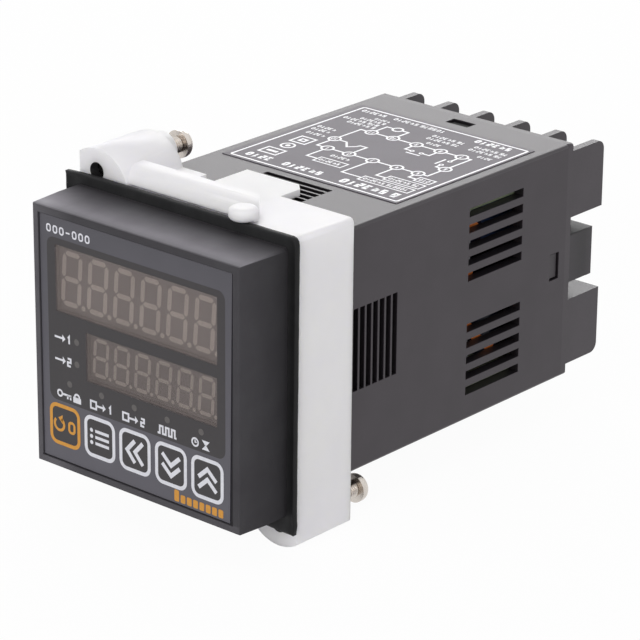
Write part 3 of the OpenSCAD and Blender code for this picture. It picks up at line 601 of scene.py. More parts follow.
def cut_sheet(name, outlines, place, thickness, finish):
    """A sheet with holes: the first outline is its edge, the others are cut out."""
    curve = bpy.data.curves.new(name, "CURVE")
    curve.dimensions = "2D"
    curve.fill_mode = "BOTH"
    for outline in outlines:
        spline = curve.splines.new("POLY")
        spline.points.add(len(outline) - 1)
        for point, (u, v) in zip(spline.points, outline):
            point.co = (u, v, 0.0, 1.0)
        spline.use_cyclic_u = True
    drawing = add_object(name + "_drawing", curve)
    flat = shown_mesh(drawing)
    bpy.data.objects.remove(drawing)
    mesh = bmesh.new()
    mesh.from_mesh(flat)
    bmesh.ops.remove_doubles(mesh, verts=mesh.verts[:], dist=SAME_POINT)
    sides = bmesh.ops.extrude_face_region(mesh, geom=mesh.faces[:])
    raised = {item for item in sides["geom"] if isinstance(item, bmesh.types.BMVert)}
    for vert in mesh.verts:
        vert.co = place(vert.co.x, vert.co.y, thickness if vert in raised else 0.0)
    return new_piece(name, close_mesh(mesh, name), finish, "housing")


# Front film: a sheet with two smoked windows, a dark field and printed symbols
FILM_LOW, FILM_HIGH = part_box("front_film")
FILM_BACK = FILM_HIGH.y / MM
FILM_FRONT = FILM_LOW.y / MM
FILM_CORNERS = [(-22.55, -22.45), (21.72, -22.5), (22.3, 22.5), (-22.5, 22.5)]
WINDOWS = {"upper": ((-18.9, 5.33), (18.93, 17.55)), "lower": ((-11.8, -5.88), (18.88, 3.1))}
FIELD = ((-20.85, -11.3), (20.72, 18.8))
FIELD_ROUND = 1.6
LAMP_PLACES = [
    (-14.05, 0.69), (-14.07, -3.45), (-15.96, -7.62), (-8.21, -7.62), (-0.39, -7.65),
    (7.36, -7.68), (15.2, -7.65),
]
LAMP_RADIUS = 0.6
INK = 0.012
PANE_GAP = 0.01
PANE_SINK = 0.02
PANE_THINNER = 0.03
DISPLAY_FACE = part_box("upper_display")[0].y / MM
LINER = 0.12
LINER_INSET = 0.02


def film_pieces():
    openings = [square(*window) for window in WINDOWS.values()]
    thickness = FILM_BACK - FILM_FRONT
    sheet = cut_sheet("film_sheet", [FILM_CORNERS] + openings, on_front(FILM_BACK), thickness,
                      film_finish)
    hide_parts("front_film")
    for label, window in WINDOWS.items():
        printed("film_pane_" + label, [square(*inset(*window, PANE_GAP))], on_front(FILM_BACK - PANE_SINK),
                thickness - PANE_THINNER, pane_finish)
        liner = inset(*window, LINER_INSET)
        cut_sheet("display_liner_" + label, [square(*liner), square(*inset(*liner, LINER))],
                  on_front(DISPLAY_FACE - INK), DISPLAY_FACE - FILM_BACK - 2 * INK,
                  display_finish)
    cut_sheet("film_field", [rounded(*FIELD, FIELD_ROUND)] + openings, on_front(FILM_FRONT), INK,
              field_finish)
    printed("film_lamp_windows", [disc(place, LAMP_RADIUS) for place in LAMP_PLACES],
            on_front(FILM_FRONT - INK), INK, lamp_ink)


film_pieces()

# Keys: a frame, a dark field and a symbol each
KEY_SIZE = (7.45, 7.8)
KEY_ROUND = 1.75
KEY_LINE = 0.7
KEY_FIELD_INSET = 0.2
KEY_PLACES = [(-17.3, -15.83), (-8.81, -15.85), (-0.37, -15.88), (8.14, -15.92), (16.6, -15.97)]


def key_outline(place):
    low, high = centred(place, KEY_SIZE)
    return [rounded(low, high, KEY_ROUND), rounded(*inset(low, high, KEY_LINE), KEY_ROUND - KEY_LINE)]


def key_field(place):
    return rounded(*inset(*centred(place, KEY_SIZE), KEY_FIELD_INSET), KEY_ROUND - KEY_FIELD_INSET)


def chevrons(place, direction):
    """Two arrow heads that point one way."""
    width, height, step, line = 4.1, 1.85, 1.9, 0.78
    shapes = []
    for shift in (-0.5, 0.5):
        tip = shift * step + height / 2
        foot = shift * step - height / 2
        turned = []
        for across, along in [(-width / 2, foot), (0.0, tip), (width / 2, foot)]:
            turned.append((place[0] + across * direction[1] + along * direction[0],
                           place[1] + across * direction[0] + along * direction[1]))
        shapes.append(stroke(turned, line))
    return shapes


# Strokes of plain numbers, as shares of their width and height
FIGURE_LINES = {
    "1": [[(0.2, 0.75), (0.6, 1), (0.6, 0)]],
    "2": [[(0, 1), (1, 1), (1, 0.5), (0, 0.5), (0, 0), (1, 0)]],
    "3": [[(0, 1), (1, 1), (1, 0), (0, 0)], [(0.3, 0.5), (1, 0.5)]],
    "4": [[(0, 1), (0, 0.4), (1, 0.4)], [(0.75, 1), (0.75, 0)]],
    "5": [[(1, 1), (0, 1), (0, 0.5), (1, 0.5), (1, 0), (0, 0)]],
    "6": [[(1, 1), (0, 1), (0, 0), (1, 0), (1, 0.5), (0, 0.5)]],
    "7": [[(0, 1), (1, 1), (0.4, 0)]],
    "8": [[(0, 0.5), (0, 1), (1, 1), (1, 0), (0, 0), (0, 0.5), (1, 0.5)]],
    "9": [[(1, 0.5), (0, 0.5), (0, 1), (1, 1), (1, 0), (0, 0)]],
}
ZERO_BEND = 0.45


def figure(number, left, base, size, line):
    """One plain number in straight strokes, or a zero with round ends."""
    width, height = size
    if number == "0":
        bend = width * ZERO_BEND
        low, high = (left, base), (left + width, base + height)
        return [[rounded(low, high, bend), rounded(*inset(low, high, line), bend - line)]]
    shapes = []
    for path in FIGURE_LINES[number]:
        points = []
        for across, up in path:
            points.append((left + line / 2 + across * (width - line),
                           base + line / 2 + up * (height - line)))
        shapes.append(stroke(points, line))
    return shapes


def reset_symbol(place):
    """A round arrow before a zero."""
    radius, line, shift, start, end, steps = 1.15, 0.5, 1.4, 60.0, -225.0, 30
    arrow = [(-0.8, 0.2), (0.25, 0.85), (0.2, -0.85)]
    zero_left, zero_base, zero_size = 0.75, -1.2, (1.8, 2.4)
    round_line = arc((place[0] - shift, place[1]), radius, start, end, steps)
    tip = round_line[0]
    shapes = [stroke(round_line, line), [(tip[0] + across, tip[1] + up) for across, up in arrow]]
    return shapes + figure("0", place[0] + zero_left, place[1] + zero_base, zero_size, line)


def menu_symbol(place):
    """Three bars, each with a dot before it."""
    pitch, bar_left, bar_right, line = 1.15, -1.1, 2.2, 0.56
    dot_left, dot_radius, dot_steps = -2.0, 0.38, 14
    shapes = []
    for row in (-1, 0, 1):
        z = place[1] + row * pitch
        shapes.append(stroke([(place[0] + bar_left, z), (place[0] + bar_right, z)], line))
        shapes.append(disc((place[0] + dot_left, z), dot_radius, dot_steps))
    return shapes


# Legends in the field: generic symbols in the places of words
LEGEND_BASE = -10.72
LEGEND_HEIGHT = 1.72
LEGEND_LINE = 0.38
LEGEND_FIGURE = (1.1, LEGEND_HEIGHT)
ARROW_HEAD = 0.72


def arrow_to(left, middle, length):
    neck = left + length - ARROW_HEAD
    head = [(neck, middle - ARROW_HEAD), (left + length, middle), (neck, middle + ARROW_HEAD)]
    return [stroke([(left, middle), (neck, middle)], LEGEND_LINE), head]


def key_and_padlock(left, base):
    bow_radius, bow_hole, shaft, teeth, tooth_foot = 0.72, 0.38, (1.4, 3.5), (2.6, 3.3), 0.15
    lock_shift, lock_half, lock_height, shackle = 4.9, 0.95, 1.05, 0.58
    middle = base + LEGEND_HEIGHT / 2
    bow, lock = (left + bow_radius, middle), left + lock_shift
    shapes = [[disc(bow, bow_radius), disc(bow, bow_hole)]]
    shapes.append(stroke([(left + shaft[0], middle), (left + shaft[1], middle)], LEGEND_LINE))
    for tooth in teeth:
        shapes.append(stroke([(left + tooth, middle), (left + tooth, base + tooth_foot)], LEGEND_LINE))
    shapes.append(square((lock - lock_half, base), (lock + lock_half, base + lock_height)))
    shapes.append(stroke(arc((lock, base + lock_height), shackle, 0.0, 180.0), LEGEND_LINE))
    return shapes


def output_symbol(left, base, number):
    """An arrow that leaves a box, and the output's number."""
    width, arrow_length, figure_shift = 1.7, 2.1, 4.3
    low, high = (left, base), (left + width, base + LEGEND_HEIGHT)
    shapes = [[square(low, high), square(*inset(low, high, LEGEND_LINE))]]
    shapes += arrow_to(high[0], base + LEGEND_HEIGHT / 2, arrow_length)
    return shapes + figure(number, left + figure_shift, base, LEGEND_FIGURE, LEGEND_LINE)


def pulse_train(left, base):
    rises, width, length = (0.5, 1.9, 3.3), 0.7, 4.4
    low, high = base + LEGEND_LINE / 2, base + LEGEND_HEIGHT - LEGEND_LINE / 2
    points = [(left, low)]
    for rise in rises:
        start = left + rise
        points += [(start, low), (start, high), (start + width, high), (start + width, low)]
    return [stroke(points + [(left + length, low)], LEGEND_LINE)]


def clock_and_glass(left, base):
    radius, hole, hand_up, hand_across, hand_line = 0.86, 0.54, 0.45, 0.35, 0.24
    glass_shift, glass_half, waist_overlap = 3.3, 0.9, 0.12
    waist, top = base + LEGEND_HEIGHT / 2, base + LEGEND_HEIGHT
    middle, glass = (left + radius, waist), left + glass_shift
    hands = [(middle[0], waist + hand_up), middle, (middle[0] + hand_across, waist)]
    return [[disc(middle, radius), disc(middle, hole)], stroke(hands, hand_line),
            [(glass - glass_half, top), (glass, waist - waist_overlap), (glass + glass_half, top)],
            [(glass - glass_half, base), (glass, waist + waist_overlap), (glass + glass_half, base)]]


def title_row(left, base):
    """Plain zeros and a dash, where a type name would stand."""
    size, pitch, line = (1.15, 1.5), 1.55, 0.3
    zero_steps, dash_step, dash_ends = (0, 1, 2, 4, 5, 6), 3, (0.1, 1.0)
    shapes = []
    for step in zero_steps:
        shapes += figure("0", left + step * pitch, base, size, line)
    dash, middle = left + dash_step * pitch, base + size[1] / 2
    return shapes + [stroke([(dash + end, middle) for end in dash_ends], line)]


def block_row(left, base):
    """Plain blocks, the first one taller, where a name would stand."""
    width, gap, count, height, first, bend = 1.1, 0.36, 8, 1.5, 2.1, 0.25
    shapes = []
    for index in range(count):
        start = left + index * (width + gap)
        shapes.append(rounded((start, base), (start + width, base + (height if index else first)), bend))
    return shapes


TITLE_PLACE = (-20.9, 19.5)
BLOCKS_PLACE = (8.9, -22.1)
INPUT_BASES = {"1": -0.3, "2": -4.41}
INPUT_ARROW, ARROW_LENGTH, INPUT_FIGURE = -19.4, 2.6, -16.5
LOCK_LEFT, PULSE_LEFT, CLOCK_LEFT = -19.1, 5.1, 12.95
OUTPUT_LEFTS = {"1": -11.05, "2": -3.3}


def front_print():
    reset_key, mode_key, left_key, down_key, up_key = KEY_PLACES
    white = title_row(*TITLE_PLACE)
    for place in KEY_PLACES[1:]:
        white.append(key_outline(place))
    white += menu_symbol(mode_key)
    white += chevrons(left_key, (-1.0, 0.0))
    white += chevrons(down_key, (0.0, -1.0))
    white += chevrons(up_key, (0.0, 1.0))
    for number, base in INPUT_BASES.items():
        white += arrow_to(INPUT_ARROW, base + LEGEND_HEIGHT / 2, ARROW_LENGTH)
        white += figure(number, INPUT_FIGURE, base, LEGEND_FIGURE, LEGEND_LINE)
    white += key_and_padlock(LOCK_LEFT, LEGEND_BASE)
    for number, left in OUTPUT_LEFTS.items():
        white += output_symbol(left, LEGEND_BASE, number)
    white += pulse_train(PULSE_LEFT, LEGEND_BASE)
    white += clock_and_glass(CLOCK_LEFT, LEGEND_BASE)
    level = on_front(FILM_FRONT - INK)
    printed("print_white", white, level, INK, white_ink)
    orange = [key_outline(reset_key)] + reset_symbol(reset_key) + block_row(*BLOCKS_PLACE)
    printed("print_orange", orange, level, INK, orange_ink)
    fields = [key_field(place) for place in KEY_PLACES]
    printed("print_key_fields", fields, on_front(FILM_FRONT), INK, field_finish)


front_print()

# Label print: a generic terminal diagram, with rows of plain numbers where words would stand
LABEL_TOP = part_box("rating_label")[1].z / MM
LABEL_LINE = 0.4
LABEL_FRAME = ((-19.36, 33.3), (20.0, 70.9))
FRAME_LINE, FRAME_ROUND, INNER_ROUND = 0.42, 0.6, 0.3
REAR_ROW, REAR_NUMBERS = 60.0, ("11", "10", "9", "8", "7")
FRONT_ROW, FRONT_NUMBERS = 47.64, ("1", "2", "3", "4", "5")
TERMINAL_X = [-8.3, -3.15, 2.39, 8.06, 12.97]
LOOP_LEFT, LOOP_RIGHT, LOOP_MIDDLE = -10.88, 15.12, 52.6
MARK_RADIUS = 1.35
SUPPLY_LEVEL, SUPPLY_RADIUS = 64.45, 1.2
CONTACT_LEVEL, CONTACT_ENDS = 56.7, (4.06, 6.24)
CONTACT_BRIDGE = [(3.67, 55.45), (6.85, 55.45)]
DOT_RADIUS, DOT_LINE = 0.5, 0.28
SIDE_DOTS, SIDE_LEADS = (56.6, 54.15), (57.1, 53.65)
SIDE_BRIDGE = [(11.7, 57.0), (11.7, 53.85)]
SWITCH_LEVER = [(-8.0, LOOP_MIDDLE), (-6.2, 50.5), (-5.0, 51.7), (-4.7, LOOP_MIDDLE)]
# Input boxes: terminal's index in its row, level of its lead, and corners of the box
INPUT_BOXES = [
    (0, 41.9, (-5.88, 40.5), (0.79, 43.2)), (2, 39.15, (6.85, 37.9), (18.5, 40.4)),
    (3, 41.9, (10.2, 40.9), (18.5, 43.4)), (4, 45.0, (14.6, 44.0), (18.4, 46.4)),
]
BOX_LINE, TEXT_LEFT, TEXT_RIGHT, TEXT_HALF = 0.3, 0.7, 0.6, 0.5
SQUARE_MARK, INNER_MARK = ((-16.5, 46.1), (-12.55, 50.0)), ((-15.35, 47.25), (-13.7, 48.85))
INNER_LINE = 0.45
RING_MARK, RING_RADIUS, RING_DOT = (-14.6, 43.9), 1.5, 0.5
BAR_FRAME, BAR_MARK = ((-16.9, 38.0), (-12.4, 41.4)), ((-15.9, 39.3), (-13.4, 40.1))
# Rows of numbers: left, right, low and high
TEXT_ROWS = [
    (-18.15, -12.4, 68.5, 69.7), (-10.4, 2.76, 68.5, 69.7),
    (-13.15, -9.5, 66.3, 67.2), (-15.4, -9.4, 64.8, 65.8), (-18.15, -9.3, 63.2, 64.3),
    (-15.9, -9.4, 61.6, 62.7),
    (1.24, 8.97, 65.6, 66.7), (1.24, 8.97, 63.9, 65.0), (3.06, 6.85, 61.7, 62.7),
    (11.1, 18.67, 65.6, 66.7), (11.1, 18.67, 63.9, 65.0), (14.9, 18.67, 61.7, 62.7),
    (-18.15, -13.0, 55.8, 56.9), (-18.15, -13.0, 54.1, 55.2), (-17.4, -12.8, 51.8, 52.9),
    (-5.1, -0.73, 44.4, 45.5),
]
BOLD_ROWS = [
    (9.0, 18.8, 68.2, 69.9), (-17.2, -10.6, 34.9, 36.8), (-8.45, 2.15, 34.9, 36.8),
    (5.2, 18.6, 34.7, 36.9),
]
TEXT_WEIGHT, BOLD_WEIGHT = 0.2, 0.25


def ring(centre, radius, line=LABEL_LINE):
    return [disc(centre, radius), disc(centre, radius - line)]


def frame_line(low, high, line=LABEL_LINE):
    return [square(low, high), square(*inset(low, high, line))]


def upside_down(shape, centre):
    """The same outlines, turned half round, since the label is read from the rear."""
    if isinstance(shape[0][0], tuple):
        return [upside_down(outline, centre) for outline in shape]
    return [(2 * centre[0] - u, 2 * centre[1] - v) for u, v in shape]


def terminal_mark(place, number):
    """A numbered ring."""
    width, height, line, gap = 0.55, 1.1, 0.2, 0.14
    shapes = [ring(place, MARK_RADIUS)]
    left = place[0] - (len(number) * (width + gap) - gap) / 2
    for index, mark in enumerate(number):
        figure_left = left + index * (width + gap)
        for shape in figure(mark, figure_left, place[1] - height / 2, (width, height), line):
            shapes.append(upside_down(shape, place))
    return shapes


def lead(points):
    return stroke(points, LABEL_LINE)


def terminal_rows():
    """Two rows of numbered rings, and a ring at each side that joins them."""
    shapes = []
    for row, numbers in ((REAR_ROW, REAR_NUMBERS), (FRONT_ROW, FRONT_NUMBERS)):
        for x, number in zip(TERMINAL_X, numbers):
            shapes += terminal_mark((x, row), number)
        for first, second in zip(TERMINAL_X, TERMINAL_X[1:]):
            shapes.append(lead([(first + MARK_RADIUS, row), (second - MARK_RADIUS, row)]))
    for x, neighbour, number in ((LOOP_LEFT, TERMINAL_X[0], "12"), (LOOP_RIGHT, TERMINAL_X[-1], "6")):
        shapes += terminal_mark((x, LOOP_MIDDLE), number)
        edge = neighbour + math.copysign(MARK_RADIUS, x - neighbour)
        for row, side in ((REAR_ROW, 1), (FRONT_ROW, -1)):
            start = (x, LOOP_MIDDLE + side * MARK_RADIUS)
            shapes.append(lead([start, (x, row), (edge, row)]))
    return shapes


def wiring():
    """Supply loop, contacts, a switch and the leads to the input boxes."""
    first, second, third, fourth, fifth = TERMINAL_X
    top, foot = REAR_ROW + MARK_RADIUS, REAR_ROW - MARK_RADIUS
    supply = ((first + second) / 2, SUPPLY_LEVEL)
    shapes = [ring(supply, SUPPLY_RADIUS)]
    leads = [CONTACT_BRIDGE, SIDE_BRIDGE, [(fifth, foot), (fifth, SIDE_LEADS[0])],
             [(fifth, SIDE_LEADS[1]), (fifth, LOOP_MIDDLE), (LOOP_RIGHT - MARK_RADIUS, LOOP_MIDDLE)],
             [(LOOP_LEFT + MARK_RADIUS, LOOP_MIDDLE), *SWITCH_LEVER,
              (second, LOOP_MIDDLE), (second, FRONT_ROW + MARK_RADIUS)]]
    for x, side in ((first, -1), (second, 1)):
        leads.append([(x, top), (x, SUPPLY_LEVEL), (supply[0] + side * SUPPLY_RADIUS, SUPPLY_LEVEL)])
    for x, end in zip((third, fourth), CONTACT_ENDS):
        stop = end - math.copysign(DOT_RADIUS, end - x)
        leads.append([(x, foot), (x, CONTACT_LEVEL), (stop, CONTACT_LEVEL)])
        shapes.append(ring((end, CONTACT_LEVEL), DOT_RADIUS, DOT_LINE))
    for level in SIDE_DOTS:
        shapes.append(ring((fifth, level), DOT_RADIUS, DOT_LINE))
    for index, level, low, high in INPUT_BOXES:
        x = TERMINAL_X[index]
        leads.append([(x, FRONT_ROW - MARK_RADIUS), (x, level), (low[0], level)])
        shapes.append(frame_line(low, high, BOX_LINE))
        middle = (low[1] + high[1]) / 2
        left, right = low[0] + TEXT_LEFT, high[0] - TEXT_RIGHT
        shapes += number_row(left, right, middle - TEXT_HALF, middle + TEXT_HALF)
    return shapes + [lead(points) for points in leads]


def plain_marks():
    """Generic marks: a square in a square, a ring with a dot and a framed bar."""
    return [frame_line(*SQUARE_MARK), frame_line(*INNER_MARK, INNER_LINE),
            ring(RING_MARK, RING_RADIUS), disc(RING_MARK, RING_DOT),
            frame_line(*BAR_FRAME), square(*BAR_MARK)]


def number_row(left, right, low, high, weight=TEXT_WEIGHT):
    """Plain numbers in a row, in the place of words, to be read from the rear."""
    height = high - low
    width, gap, word_gap, word = 0.62 * height, 0.2 * height, 0.55 * height, 6
    shapes = []
    index = 0
    while left + width <= right:
        centre = (left + width / 2, low + height / 2)
        for shape in figure(str(index % 10), left, low, (width, height), weight * height):
            shapes.append(upside_down(shape, centre))
        index += 1
        left += width + (gap if index % word else word_gap)
    return shapes


def label_print():
    shapes = [[rounded(*LABEL_FRAME, FRAME_ROUND),
               rounded(*inset(*LABEL_FRAME, FRAME_LINE), INNER_ROUND)]]
    shapes += terminal_rows()
    shapes += wiring()
    shapes += plain_marks()
    for row in TEXT_ROWS:
        shapes += number_row(*row)
    for row in BOLD_ROWS:
        shapes += number_row(*row, BOLD_WEIGHT)
    printed("label_print", shapes, on_top(LABEL_TOP), INK, label_ink)


label_print()

# Clamp screws with a cut thread, a pan head and a cross recess
SCREW_RADIUS = 1.5
SCREW_HEAD = 2.0
SCREW_SIDES = 40
THREAD_PITCH = 0.5
THREAD_DEPTH = 0.28
THREAD_STEPS = 8
CREST_SLOPE, CREST_SHIFT = 1.5, 0.25
TIP_SHARE, TIP_LENGTH = 0.55, 0.8
# Pan head: share of its radius and share of its height
HEAD_PROFILE = [(1.0, 0.0), (1.0, 0.45), (0.97, 0.62), (0.88, 0.8), (0.7, 0.94), (0.5, 1.0)]
CROSS_HALF = 0.5
CROSS_DEPTH = 1.15
CROSS_ABOVE = 0.4
CROSS_TURNS = (20.0, 110.0)
# Reach of the recess as a share of the head's radius, and of its floor as a share of that
CROSS_REACH, CROSS_FLOOR = 0.62, 0.35


def thread_radius(along, turn):
    """Radius of the thread, at a distance from the tip in metres and a share of a turn."""
    phase = (along / (THREAD_PITCH * MM) - turn) % 1.0
    crest = 1.0 - abs(2.0 * phase - 1.0)
    cover = min(1.0, max(0.0, crest * CREST_SLOPE - CREST_SHIFT))
    taper = min(1.0, TIP_SHARE + along / (TIP_LENGTH * MM))
    return (SCREW_RADIUS - THREAD_DEPTH * (1.0 - cover)) * MM * taper


def screw_loop(mesh, axis, y, radii):
    """Points round the screw's axis, one for each radius."""
    loop = []
    for index, radius in enumerate(radii):
        angle = 2 * math.pi * index / len(radii)
        x, z = axis[0] + radius * math.cos(angle), axis[1] + radius * math.sin(angle)
        loop.append(mesh.verts.new((x, y, z)))
    return loop


def screw_piece(name, node, body):
    low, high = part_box(node)
    axis = axis_of(node)
    head_radius = (high.x - low.x) / 2
    seat = high.y - SCREW_HEAD * MM
    rows = int((seat - low.y) / (THREAD_PITCH * MM) * THREAD_STEPS)
    mesh = bmesh.new()
    loops = []
    for row in range(rows + 1):
        along = (seat - low.y) * row / rows
        radii = [thread_radius(along, index / SCREW_SIDES) for index in range(SCREW_SIDES)]
        loops.append(screw_loop(mesh, axis, low.y + along, radii))
    for share, rise in HEAD_PROFILE:
        radii = [head_radius * share] * SCREW_SIDES
        loops.append(screw_loop(mesh, axis, seat + SCREW_HEAD * MM * rise, radii))
    tube(mesh, loops)
    obj = new_piece(name, close_mesh(mesh, name), screw_finish, body)
    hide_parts(node)
    cut_cross(obj, Vector((axis[0], high.y, axis[1])), head_radius)


def cut_cross(obj, centre, head_radius):
    """A cross recess with slanted floors, cut into the head."""
    mesh = bmesh.new()
    reach = head_radius * CROSS_REACH
    levels = ((-CROSS_DEPTH * MM, reach * CROSS_FLOOR), (CROSS_ABOVE * MM, reach))
    for turn in CROSS_TURNS:
        spin = Matrix.Rotation(math.radians(turn), 3, "Y")
        loops = []
        for level, half_length in levels:
            corners = square((-half_length, -CROSS_HALF * MM), (half_length, CROSS_HALF * MM))
            loops.append([mesh.verts.new(centre + spin @ Vector((u, level, v))) for u, v in corners])
        tube(mesh, loops)
    cutter = add_object("cutter", close_mesh(mesh, "cutter"))
    cut = obj.modifiers.new("cross", "BOOLEAN")
    cut.operation = "DIFFERENCE"
    cut.solver = "EXACT"
    cut.use_self = True
    cut.object = cutter
    done = shown_mesh(obj)
    obj.modifiers.clear()
    obj.data = done
    bpy.data.objects.remove(cutter)


screw_piece("clamp_thread_upper", "clamp_screw_upper", "clamp_upper")
screw_piece("clamp_thread_lower", "clamp_screw_lower", "clamp_lower")

# Small things at the side: closed ends of the rear rail, and tape seen through the vents
RAIL_END = 22.32
RAIL_DEPTH = 14.0
RAIL_LOW, RAIL_HIGH = (80.3, -4.74), (87.78, 4.74)
RAIL_ROUND, RAIL_EDGE = 0.5, 0.2
TAPE_PLACE = 20.3
TAPE_PATHS = [
    [(52.6, -4.6), (55.4, -8.3), (57.2, -9.7), (60.8, -12.3)],
    [(52.6, 14.3), (54.0, 13.6), (55.4, 12.3)],
    [(52.0, 5.3), (53.2, 4.6), (54.0, 3.6)],
]
TAPE_WIDTH, TAPE_THICKNESS = 1.7, 0.1


def side_pieces():
    rail = [rounded(RAIL_LOW, RAIL_HIGH, RAIL_ROUND)]
    tapes = [stroke(path, TAPE_WIDTH) for path in TAPE_PATHS]
    for label, side in (("right", 1), ("left", -1)):
        cap = printed("rail_end_" + label, rail, on_side(RAIL_END - RAIL_DEPTH, side), RAIL_DEPTH,
                      rail_finish)
        soften(cap, RAIL_EDGE)
        printed("vent_tape_" + label, tapes, on_side(TAPE_PLACE, side), TAPE_THICKNESS,
                tape_finish)


side_pieces()

# Gasket: a rubber sheet ring that has been lifted and torn a little at its corners
GASKET_LOW, GASKET_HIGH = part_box("panel_gasket")
GASKET_OPENING = 23.05
GASKET_FLAT = 24.5
GASKET_BENT = 1.9
GASKET_SKIN = 0.03
EDGE_STEP, EDGE_WAVE = 0.6, 0.035
WAVE_ACROSS, WAVE_UP = 0.9, 1.3
# Edge of the sheet as it lies in the photograph: across, up, and how far it is bent to the front
GASKET_EDGE = [
    (-26.3, 26.7, 1.35), (-25.2, 26.6, 0.9), (-23.5, 26.5, 0.4), (-18.0, 26.36, 0.0),
    (0.0, 26.4, 0.0), (18.0, 26.38, 0.0), (24.9, 26.4, 0.0), (25.6, 26.2, 0.0),
    (26.05, 25.75, 0.05), (26.25, 25.0, 0.1), (26.3, 15.0, 0.25), (26.25, 0.0, 0.3),
    (26.2, -15.0, 0.45), (26.25, -24.8, 0.5), (26.38, -25.6, 0.5), (26.3, -26.2, 0.5),
    (26.1, -27.35, 0.4), (25.6, -27.3, 0.4), (19.8, -27.25, 0.3), (10.0, -26.9, 0.2),
    (0.0, -26.6, 0.0), (-18.0, -26.4, 0.0), (-25.2, -26.4, 0.0), (-26.0, -26.0, 0.0),
    (-26.35, -25.2, 0.0), (-26.38, 0.0, 0.0), (-26.38, 14.0, 0.0), (-26.35, 21.0, 1.0),
    (-26.35, 24.0, 1.35),
]
# Front half of its section: share of the way from the opening to the edge, and share of the thickness
GASKET_HALF = [(0.0, 0.0), (0.3, 0.0), (0.5, 0.0), (0.65, 0.0), (0.8, 0.0), (0.9, 0.0),
               (0.97, 0.03), (1.0, 0.14)]
GASKET_SECTION = GASKET_HALF + [(share, 1.0 - depth) for share, depth in reversed(GASKET_HALF)]


def gasket_edge():
    """The edge in short steps, with a faint waviness between its corners."""
    points = []
    for start, end in zip(GASKET_EDGE, GASKET_EDGE[1:] + GASKET_EDGE[:1]):
        a, b = Vector(start), Vector(end)
        count = max(1, int((b - a).length / EDGE_STEP))
        for index in range(count):
            point = a.lerp(b, index / count)
            inward = EDGE_WAVE * (0.5 + 0.5 * math.sin(WAVE_ACROSS * point.x + WAVE_UP * point.y))
            points.append(point * (1.0 - inward / GASKET_FLAT) if count > 1 else point)
    return points


def gasket_piece():
    front = GASKET_LOW.y / MM + GASKET_SKIN
    thickness = (GASKET_HIGH.y - GASKET_LOW.y) / MM - 2 * GASKET_SKIN
    mesh = bmesh.new()
    rows = []
    for edge in gasket_edge():
        outer = Vector((edge.x, edge.y))
        inner = outer * (GASKET_OPENING / max(abs(edge.x), abs(edge.y)))
        row = []
        for share, depth in GASKET_SECTION:
            here = inner.lerp(outer, share)
            reach = max(0.0, max(abs(here.x), abs(here.y)) - GASKET_FLAT) / GASKET_BENT
            y = front + depth * thickness - edge.z * min(1.0, reach) ** 2
            row.append(mesh.verts.new(Vector((here.x, y, here.y)) * MM))
        rows.append(row)
    for row, after in zip(rows, rows[1:] + rows[:1]):
        bridge(mesh, row, after)
    data = close_mesh(mesh, "gasket_sheet")
    obj = new_piece("gasket_sheet", data, rubber_finish, "housing")
    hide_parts("panel_gasket")
    for face in obj.data.polygons:
        face.use_smooth = True


gasket_piece()

# Stage: a pale floor and soft studio light. Lengths are in metres but for the gap, in millimetres
FLOOR_GAP = 0.1
FLOOR_HALF = 3.0
FLOOR_COLOUR = (250, 250, 250)
FLOOR_ROUGH = 0.9
FLOOR_GLOW = 0.96
STUDIO_WHITE = 1.0
STUDIO_LIGHT = 0.3
TARGET = (0.0, 0.03, 0.0)
# Lamps: place, width and height, and power
LAMPS = {
    "back_soft": ((-0.5, 0.56, 0.3), (0.7, 0.26), 2.3),
    "top_soft": ((0.0, 0.0, 0.7), (0.6, 0.6), 1.35),
    "front_soft": ((0.2, -0.7, 0.25), (0.5, 0.5), 2.5),
    "right_soft": ((0.75, 0.05, 0.35), (0.5, 0.5), 1.25),
}


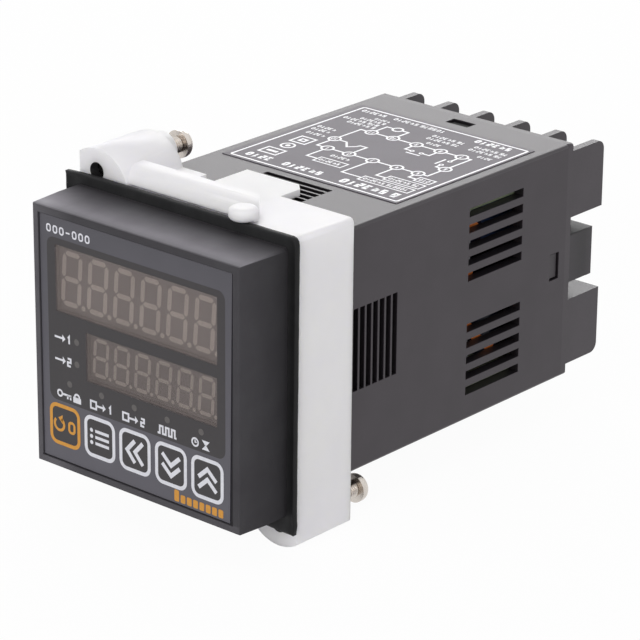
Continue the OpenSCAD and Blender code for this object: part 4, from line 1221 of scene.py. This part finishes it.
def seen_rays(tree):
    """A value of 1 for rays that show the background, straight or in metal and glass, and else 0."""
    rays = tree.nodes.new("ShaderNodeLightPath").outputs
    mirrored = larger(tree, rays["Is Glossy Ray"], rays["Is Transmission Ray"])
    return larger(tree, rays["Is Camera Ray"], mirrored)


def floor_finish():
    """A pale, dull floor that is nearly as white as the background where it is seen."""
    finish = Finish("floor")
    finish.set(base_color=colour(*FLOOR_COLOUR), roughness=FLOOR_ROUGH, specular_ior_level=0.0)
    glow = finish.node("Emission")
    glow.inputs["Strength"].default_value = STUDIO_WHITE
    blend = finish.node("MixShader")
    share = finish.span(seen_rays(finish.tree), 0.0, FLOOR_GLOW, 0.0, 1.0)
    finish.link(share, blend.inputs["Fac"])
    finish.link(finish.shader.outputs["BSDF"], blend.inputs[1])
    finish.link(glow.outputs["Emission"], blend.inputs[2])
    finish.link(blend.outputs["Shader"], finish.tree.nodes["Material Output"].inputs["Surface"])
    return finish


def add_floor():
    level = cad_box[0][2] - FLOOR_GAP * MM
    corners = square((-FLOOR_HALF, -FLOOR_HALF), (FLOOR_HALF, FLOOR_HALF))
    mesh = bpy.data.meshes.new("floor")
    mesh.from_pydata([(x, y, level) for x, y in corners], [], [(0, 1, 2, 3)])
    floor = add_object("floor", mesh)
    paint(floor, floor_finish())


def add_world():
    world = bpy.data.worlds.new("studio")
    scene.world = world
    world.use_nodes = True
    tree = world.node_tree
    sky = tree.nodes["Background"]
    sky.inputs["Color"].default_value = (1.0, 1.0, 1.0, 1.0)
    level = tree.nodes.new("ShaderNodeMapRange")
    level.inputs["To Min"].default_value = STUDIO_LIGHT
    level.inputs["To Max"].default_value = STUDIO_WHITE
    tree.links.new(seen_rays(tree), level.inputs["Value"])
    tree.links.new(level.outputs["Result"], sky.inputs["Strength"])


def add_lamp(name, place, size, power):
    data = bpy.data.lights.new(name, "AREA")
    data.shape = "RECTANGLE"
    data.size = size[0]
    data.size_y = size[1]
    data.energy = power
    lamp = add_object(name, data)
    lamp.location = place
    lamp.rotation_euler = (Vector(TARGET) - Vector(place)).to_track_quat("-Z", "Y").to_euler()


add_floor()
add_world()
for lamp_name, lamp_values in LAMPS.items():
    add_lamp(lamp_name, *lamp_values)
scene.view_settings.view_transform = "Standard"
